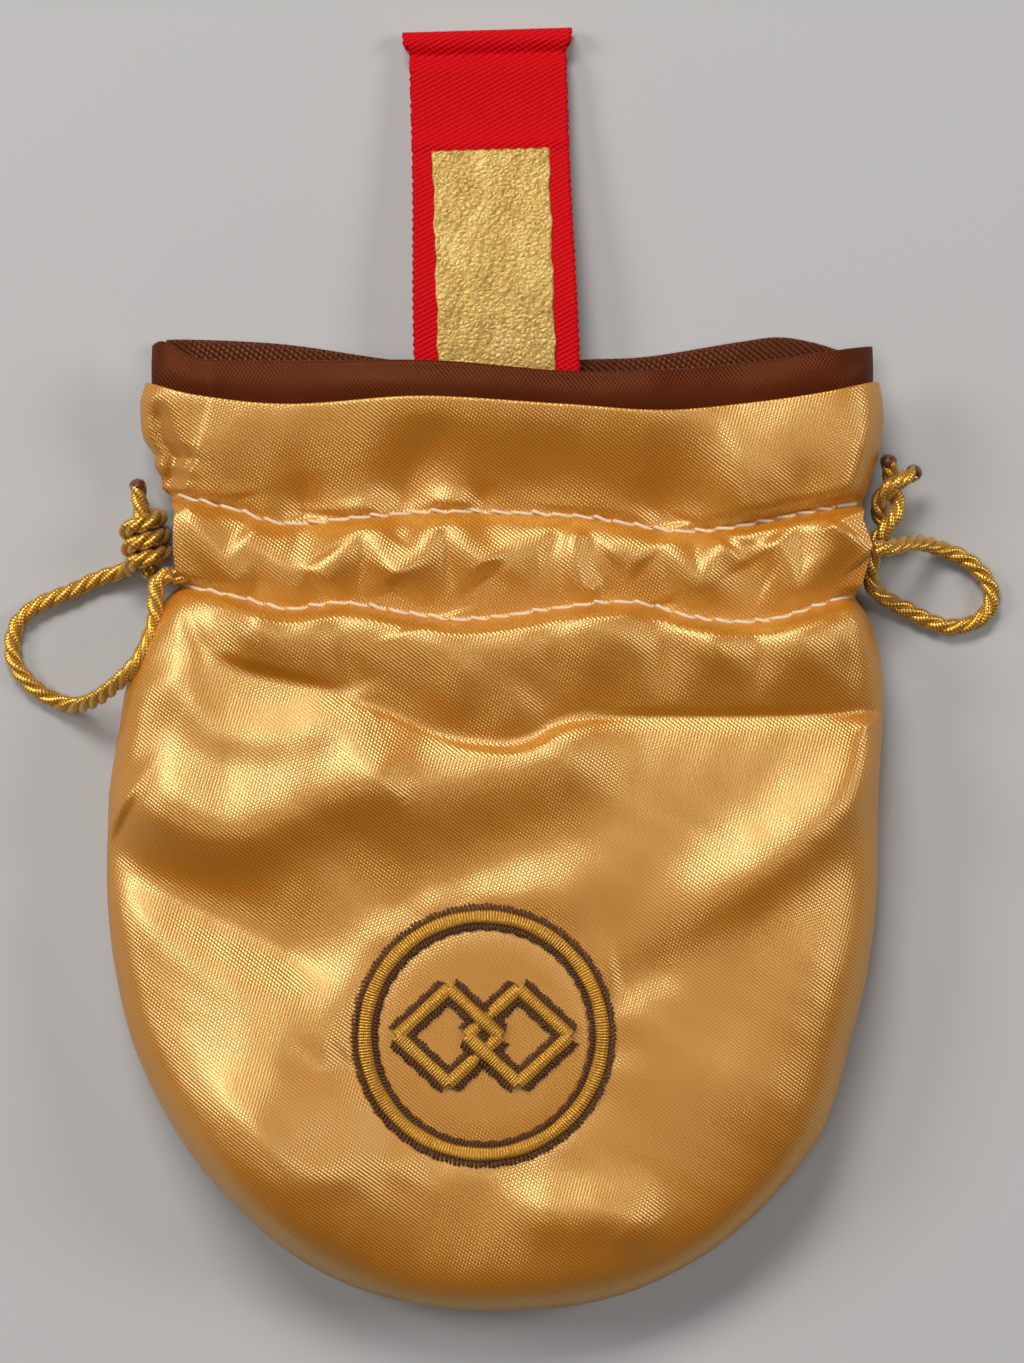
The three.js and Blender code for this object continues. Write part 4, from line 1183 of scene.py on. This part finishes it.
def lozenges():
    """Two linked lozenges, a common ornament, each passing over the other once."""
    gold, brown = [], []
    a, b = LOZENGE[0] / 2, LOZENGE[1] / 2
    for shift, over in ((-LOZENGE_SHIFT, 1), (LOZENGE_SHIFT, -1)):
        corners = np.array([RING_X + shift, RING_Y]) + np.array([[a, 0], [0, b], [-a, 0], [0, -b]])
        for i in range(4):
            ends = corners[i], corners[(i + 1) % 4]
            line, across, _ = straight_line(*ends, GOLD_PITCH)
            gold += satin_column(line, across, MOTIF_HALF, GOLD_LIFT + crossing_lift(line, over), MOTIF_ARCH)
            edge = straight_line(*ends, EDGE_PITCH)
            brown += edge_stitches(edge, MOTIF_EDGE, EDGE_LIFT + CROSSING_EDGE * crossing_lift(edge[0], over))
    embroidered("motif", gold, brown)


# Cords

ROPE_PITCH = 6.6
ROPE_STEP = 0.34
STRANDS = 3
STRAND_RADIUS = 0.262 * CORD
LAY_RADIUS = 0.25 * CORD


def rope(name, route, body, nodes, phase=0.0):
    """Three strands laid round each other along a route in millimetres."""
    line = even_steps(catmull(route, 10), ROPE_STEP)
    _, u, v = frames_along(line)
    lines = []
    for k in range(STRANDS):
        angle = -2 * np.pi * (marks_along(line) / ROPE_PITCH + k / STRANDS) + phase
        lines.append(line + LAY_RADIUS * (np.cos(angle)[:, None] * u + np.sin(angle)[:, None] * v))
    obj = join_tubes(name, lines, STRAND_RADIUS, 8, ROPE)
    dress(obj, body, "gold_cord", *nodes)
    return obj, line


# Routes of the cords, as in the part's source
LEFT_LOOP = [
    (-41.1, 11.7, 10.3), (-41.9, 11.7, 10.3), (-42.9, 10.8, 10.4), (-43.2, 8.8, 10.4), (-43.3, 6.0, 10.5),
    (-44.2, 3.1, 10.8), (-45.7, 0.4, 10.8), (-48.1, -1.9, 9.2), (-51.0, -3.9, 6.0), (-53.8, -4.8, 2.8),
    (-56.5, -4.4, 1.1), (-59.7, -2.5, 1.1), (-62.0, 0.4, 1.1), (-62.4, 3.6, 1.1), (-61.3, 6.3, 1.1),
    (-58.6, 8.3, 1.1), (-54.9, 9.8, 1.1), (-51.5, 11.4, 1.1),
]
RIGHT_LOOP = [
    (48.1, 15.1, 10.3), (48.9, 15.1, 10.3), (50.4, 15.3, 9.7), (52.7, 15.9, 7.0), (55.0, 16.0, 4.0),
    (57.4, 15.4, 1.8), (59.7, 14.6, 1.1), (61.8, 13.3, 1.1), (63.4, 11.5, 1.1), (64.2, 9.5, 1.1),
    (63.6, 7.2, 1.1), (61.6, 5.7, 1.1), (58.5, 5.3, 1.1), (55.6, 6.3, 1.1), (52.6, 7.8, 1.2),
    (50.3, 9.0, 2.0), (48.6, 10.6, 3.6), (48.3, 12.8, 5.2),
]


def run_route(mouth, turn, y, side):
    """Through the front of the casing, round the far end of the lining and back."""
    radius = (FRONT_CORD_Z - BACK_CORD_Z) / 2
    level = (FRONT_CORD_Z + BACK_CORD_Z) / 2
    out = [(x, y, FRONT_CORD_Z) for x in np.linspace(mouth, turn, 12)]
    bend = np.linspace(0, math.pi, 9)[1:-1]
    round_end = [(turn - side * radius * math.sin(a), y, level + radius * math.cos(a)) for a in bend]
    back = [(x, y, BACK_CORD_Z) for x in np.linspace(turn, mouth, 12)]
    return out + round_end + back


KNOT_WIND = 2.25
KNOT_TURNS = 2.75
KNOT_LEAN = math.radians(8)
KNOT_OUTSIDE = 3.5
TAIL = 4.0
CORD_GAP = 0.3
EXIT_STEP = 0.8


def left_knot():
    """A barrel knot: points for the loop's end, which is wound round the straight back end, and for that."""
    middle_y = (LOWER_ROW_Y + UPPER_ROW_Y) / 2
    start = np.array([LEFT_SLIT_X - CORD_GAP - KNOT_OUTSIDE, middle_y, KNOT_OUTSIDE + CORD_GAP])
    length = KNOT_TURNS * KNOT_WIND

    def place(x, along, z):
        c, s = math.cos(KNOT_LEAN), math.sin(KNOT_LEAN)
        return start + np.array([c * x - s * along, s * x + c * along, z])

    def wound(share):
        angle = math.pi - 2 * math.pi * KNOT_TURNS * share
        return place(KNOT_WIND * math.cos(angle), length * share, KNOT_WIND * math.sin(angle))

    lead = place(-KNOT_WIND - 1.0, -0.4, -1.8)
    core = [place(0, along, 0) for along in (-1.2, 0, length / 2, length, length + TAIL)]
    return [lead, *map(wound, np.linspace(0, 1, 34))], core


def drawcord(side, loop, back, run, ends, phases):
    """A whole cord: its loop, its back end, its run through the casing and its singed tips."""
    body = f"{side}_drawcord"
    obj, path = rope(f"{side}_loop_rope", loop, body, [f"{side}_cord_loop", f"{side}_knot_loop_end"])
    back_end, _ = rope(f"{side}_back_rope", back, body, [f"{side}_knot_back_end"], phases[0])
    rope(f"{side}_run_rope", run, body, [f"{side}_cord_run"], phases[1])
    tips = singed_tips(f"{side}_singed_tip" + "s" * (len(ends) - 1), body, ends)


def left_cord():
    tied, back = left_knot()
    exit_back = np.array([LEFT_SLIT_X - CORD_GAP, LEFT_CORD_Y, BACK_CORD_Z])
    route = [exit_back, exit_back + (-EXIT_STEP, 0, 0), *back]
    run = run_route(LEFT_SLIT_X, CORD_TURN_X, LEFT_CORD_Y, -1)
    drawcord("left", LEFT_LOOP + tied, route, run, [back], (1.0, 0.4))


RIGHT_TWIST = [(50.3, 18.2, 5.0), (50.4, 20.5, 5.0), (51.0, 23.1, 4.9), (52.2, 25.8, 4.8)]
TWIST_TURNS = 0.75
TWIST_RADIUS = 1.2
RIGHT_TURN_X = LEFT_SLIT_X + 6.5


def right_twist():
    """The right cord's ends, twisted round each other."""
    axis = even_steps(catmull(RIGHT_TWIST, 8), 0.4)
    tangent = unit(np.gradient(axis, axis=0))
    across = np.cross((0, 0, 1), tangent)
    up = np.cross(tangent, across)
    share = np.linspace(0, 1, len(axis))
    ends = []
    for sign in (1, -1):
        angle = sign * math.pi / 2 + 2 * math.pi * TWIST_TURNS * share
        radius = TWIST_RADIUS * (1 + 0.5 * smooth(0.8, 1.0, share))
        ends.append(axis + radius[:, None] * (np.cos(angle)[:, None] * across + np.sin(angle)[:, None] * up))
    return ends


def thinned(points):
    """Every fourth point of a line, and its last one."""
    return [*points[:-2:4], points[-1]]


def right_cord():
    tied, back = right_twist()
    lead = tied[0] + (-1.2, -1.8, -0.2)
    exit_back = np.array([RIGHT_SLIT_X + CORD_GAP, RIGHT_CORD_Y, BACK_CORD_Z])
    bend = mix(exit_back, back[0], 0.6) + (0.4, -0.2, -0.2)
    route = [exit_back, exit_back + (EXIT_STEP, 0, 0), bend, *thinned(back)]
    run = run_route(RIGHT_SLIT_X, RIGHT_TURN_X, RIGHT_CORD_Y, 1)
    drawcord("right", RIGHT_LOOP + [lead, *thinned(tied)], route, run, [tied, back], (2.0, 0.9))


# Places along a singed tip and its radius at each of them
TIP_STEPS = (-0.5, -0.1, 0.3, 0.6)
TIP_RADII = (1.02, 1.1, 1.04, 0.75)


def singed_tips(name, body, routes):
    """Brown melted blobs on the cut ends of a cord."""
    lines = []
    for route in routes:
        away = unit(route[-1] - route[-2])
        lines.append([route[-1] + away * step for step in TIP_STEPS])
    obj = join_tubes(name, lines, TIP_RADII, 10, SINGED)
    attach(obj, body)
    return obj


# Amulet

FOLD_RADIUS = 0.9
RIBBON_THICK = 0.4
BACK_LEG_Z = 4.1
FRONT_LEG_Z = 5.9
FOLD_Y = RIBBON_TOP_Y - FOLD_RADIUS - RIBBON_THICK / 2
KINK_Y = 67.6
RIBBON_FOOT_Y = -12.0
RIBBON_REST = 0.5
SELVAGE_PITCH = 1.15
FOIL_TOP_Y = 66.7
FOIL_SIZE = (15.0, 45.0)
FOIL_STAND = 0.42
FOIL_PLY = 0.12
TACK_Y = -6.0
TACK_THREAD = 0.2
TACK_STAND = 0.35


def leg_height(y, inside, table):
    return mix(inside, table, smooth(RIM_Y, FOLD_Y, y))


def front_leg(y):
    return leg_height(y, FRONT_LEG_Z, RIBBON_REST + 2 * FOLD_RADIUS)


def ribbon_point(across, y, z):
    """Place of a point of the ribbon: across its width, along the pouch, and up."""
    c, s = math.cos(RIBBON_LEAN), math.sin(RIBBON_LEAN)
    dy = y - RIM_Y
    return np.stack([RIBBON_SHIFT + c * across - s * dy, RIM_Y + s * across + c * dy, z], axis=-1)


def ribbon():
    """Up behind the card, over a rolled fold and down in front, with slightly bumpy selvages."""
    up = np.linspace(RIBBON_FOOT_Y, FOLD_Y, 110)
    roll = np.linspace(0, math.pi, 14)[1:-1]
    down = np.linspace(FOLD_Y, RIBBON_FOOT_Y, 220)
    y = np.concatenate([up, FOLD_Y + FOLD_RADIUS * np.sin(roll), down])
    roll_z = RIBBON_REST + FOLD_RADIUS * (1 - np.cos(roll))
    z = np.concatenate([leg_height(up, BACK_LEG_Z, RIBBON_REST), roll_z, front_leg(down)])
    marks = marks_along(np.stack([y, z], axis=1))
    front = np.concatenate([0 * up, 0 * roll, 0 * down + 1])[:, None]
    share, yy = np.meshgrid(np.linspace(-1, 1, 41), y)
    selvage = smooth(0.93, 1.0, np.abs(share))
    bumps = np.sin(2 * math.pi * marks / SELVAGE_PITCH)[:, None]
    across = share * RIBBON_WIDTH / 2 + 0.12 * np.sign(share) * selvage * bumps
    cup = 0.25 * (2 * across / RIBBON_WIDTH) ** 2 * smooth(RIM_Y, RIM_Y + 8, yy)
    under_roll = 0.7 * bell(yy - FOLD_Y + 2.2, 0.9)
    kink = 0.25 * bell(yy - KINK_Y, 0.7)
    height = z[:, None] + 0.1 * selvage * (1 + bumps) + (cup - under_roll + kink) * front
    hem = 0.075 * smooth(FOLD_Y - 1.6, FOLD_Y - 0.6, yy)
    spread = 0.05 * (1 - smooth(RIM_Y, KINK_Y, yy)) * front
    across = across * (1 + hem + spread)
    along = np.repeat(marks[:, None], across.shape[1], axis=1)
    uv = np.stack([across + RIBBON_WIDTH, along], axis=-1).reshape(-1, 2) / 100
    points = ribbon_point(across, yy, height).reshape(-1, 3)
    obj = make_mesh("ribbon_loop", points, grid_faces(*across.shape), RIBBON, uv)
    thicken(obj, RIBBON_THICK, 0.0)
    dress(obj, "amulet", "red_ribbon", "amulet_ribbon")


def foil():
    """Gold leaf on the ribbon's front, with uneven edges and small crinkles."""
    rows, columns = 180, 64
    t, s = np.meshgrid(np.linspace(0, 1, rows), np.linspace(-1, 1, columns), indexing="ij")
    y = FOIL_TOP_Y - FOIL_SIZE[1] * t
    ragged = 0.10 * np.sin(37 * t) + 0.07 * np.sin(91 * t + 1)
    crinkle = 0.05 * np.sin(23 * s + 40 * t + 3 * np.sin(31 * t)) * np.sin(60 * t + 9 * s)
    uneven_top = 0.08 * np.sin(29 * s) * (t < 0.02)
    z = front_leg(y) + FOIL_STAND + crinkle
    points = ribbon_point(s * (FOIL_SIZE[0] / 2 + ragged), y + uneven_top, z).reshape(-1, 3)
    faces = [face[::-1] for face in grid_faces(rows, columns)]
    obj = make_mesh("gold_leaf_panel", points, faces, FOIL)
    thicken(obj, FOIL_PLY)
    dress(obj, "amulet", "gold_foil", "foil_panel")


def tack_stitches():
    """The row that holds the ribbon to the card."""
    ends = np.linspace(-0.4, 0.4, 7) * RIBBON_WIDTH
    t = np.linspace(0, 1, 7)
    z = FRONT_LEG_Z + TACK_STAND + TACK_THREAD * np.sin(np.pi * t)
    y = TACK_Y + TACK_THREAD * t
    lines = [np.stack([RIBBON_SHIFT + mix(a, b, t), y, z], axis=1) for a, b in zip(ends[:-1], ends[1:])]
    obj = join_tubes("tack_stitches", lines, TACK_THREAD, 6, CREAM)
    dress(obj, "amulet", "cream_thread", "ribbon_tack_stitch")


def card():
    """The card is shown as its solid, with the look of paper."""
    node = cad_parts["amulet_card"]
    node.data.materials.clear()
    node.data.materials.append(PAPER)


# Stage

TABLE_REACH = 3000.0
WORLD_STRENGTH = 0.03
WORLD_COLOUR = (0.97, 0.98, 1.0, 1.0)

# Each light's place and size in metres, its power in watts and its colour
LIGHTS = {
    "key": ((-0.30, 1.00, 1.14), (0.66, 0.40), 15.6, (1.0, 0.97, 0.94)),
    "left": ((-1.12, 0.40, 0.85), (0.50, 0.50), 8.4, (1.0, 0.98, 0.96)),
    "right": ((1.15, 0.25, 0.85), (0.50, 0.50), 7.0, (1.0, 0.98, 0.96)),
    "top": ((-0.20, -0.10, 1.40), (0.40, 0.40), 2.8, (1.0, 0.98, 0.96)),
}


def camera():
    data = bpy.data.cameras.new("camera")
    data.lens = LENS
    data.sensor_width = SENSOR
    data.clip_start = 0.01
    obj = bpy.data.objects.new("camera", data)
    bpy.context.scene.collection.objects.link(obj)
    x, y = mm_at(*PX_CENTRE)
    obj.location = (x * MM, y * MM, (OUTLINE_Z + VIEW_HEIGHT * LENS / SENSOR) * MM)
    bpy.context.scene.camera = obj


def table():
    corners = np.array([(-1, -1, 0), (1, -1, 0), (1, 1, 0), (-1, 1, 0)]) * TABLE_REACH
    make_mesh("table", corners, [[0, 1, 2, 3]], TABLE)


def area_light(name, place, size, power, colour):
    """A soft light that shines on the pouch."""
    data = bpy.data.lights.new(name, "AREA")
    data.shape = "RECTANGLE"
    data.size, data.size_y = size
    data.energy = power
    data.color = colour
    obj = bpy.data.objects.new(name, data)
    obj.location = place
    obj.rotation_euler = (-Vector(place)).to_track_quat("-Z", "Y").to_euler()
    bpy.context.scene.collection.objects.link(obj)


def lights():
    world = bpy.data.worlds.new("studio")
    world.use_nodes = True
    background = world.node_tree.nodes["Background"]
    background.inputs["Color"].default_value = WORLD_COLOUR
    background.inputs["Strength"].default_value = WORLD_STRENGTH
    bpy.context.scene.world = world
    for name, values in LIGHTS.items():
        area_light(name, *values)


def view_settings():
    bpy.context.scene.view_settings.view_transform = "Standard"


def build():
    camera()
    left_cord()
    right_cord()
    front_satin()
    back_satin()
    front_lining()
    back_lining()
    stitching()
    seam_stitches()
    ring()
    lozenges()
    ribbon()
    foil()
    tack_stitches()
    card()
    table()
    lights()
    view_settings()


build()
bpy.context.view_layer.update()
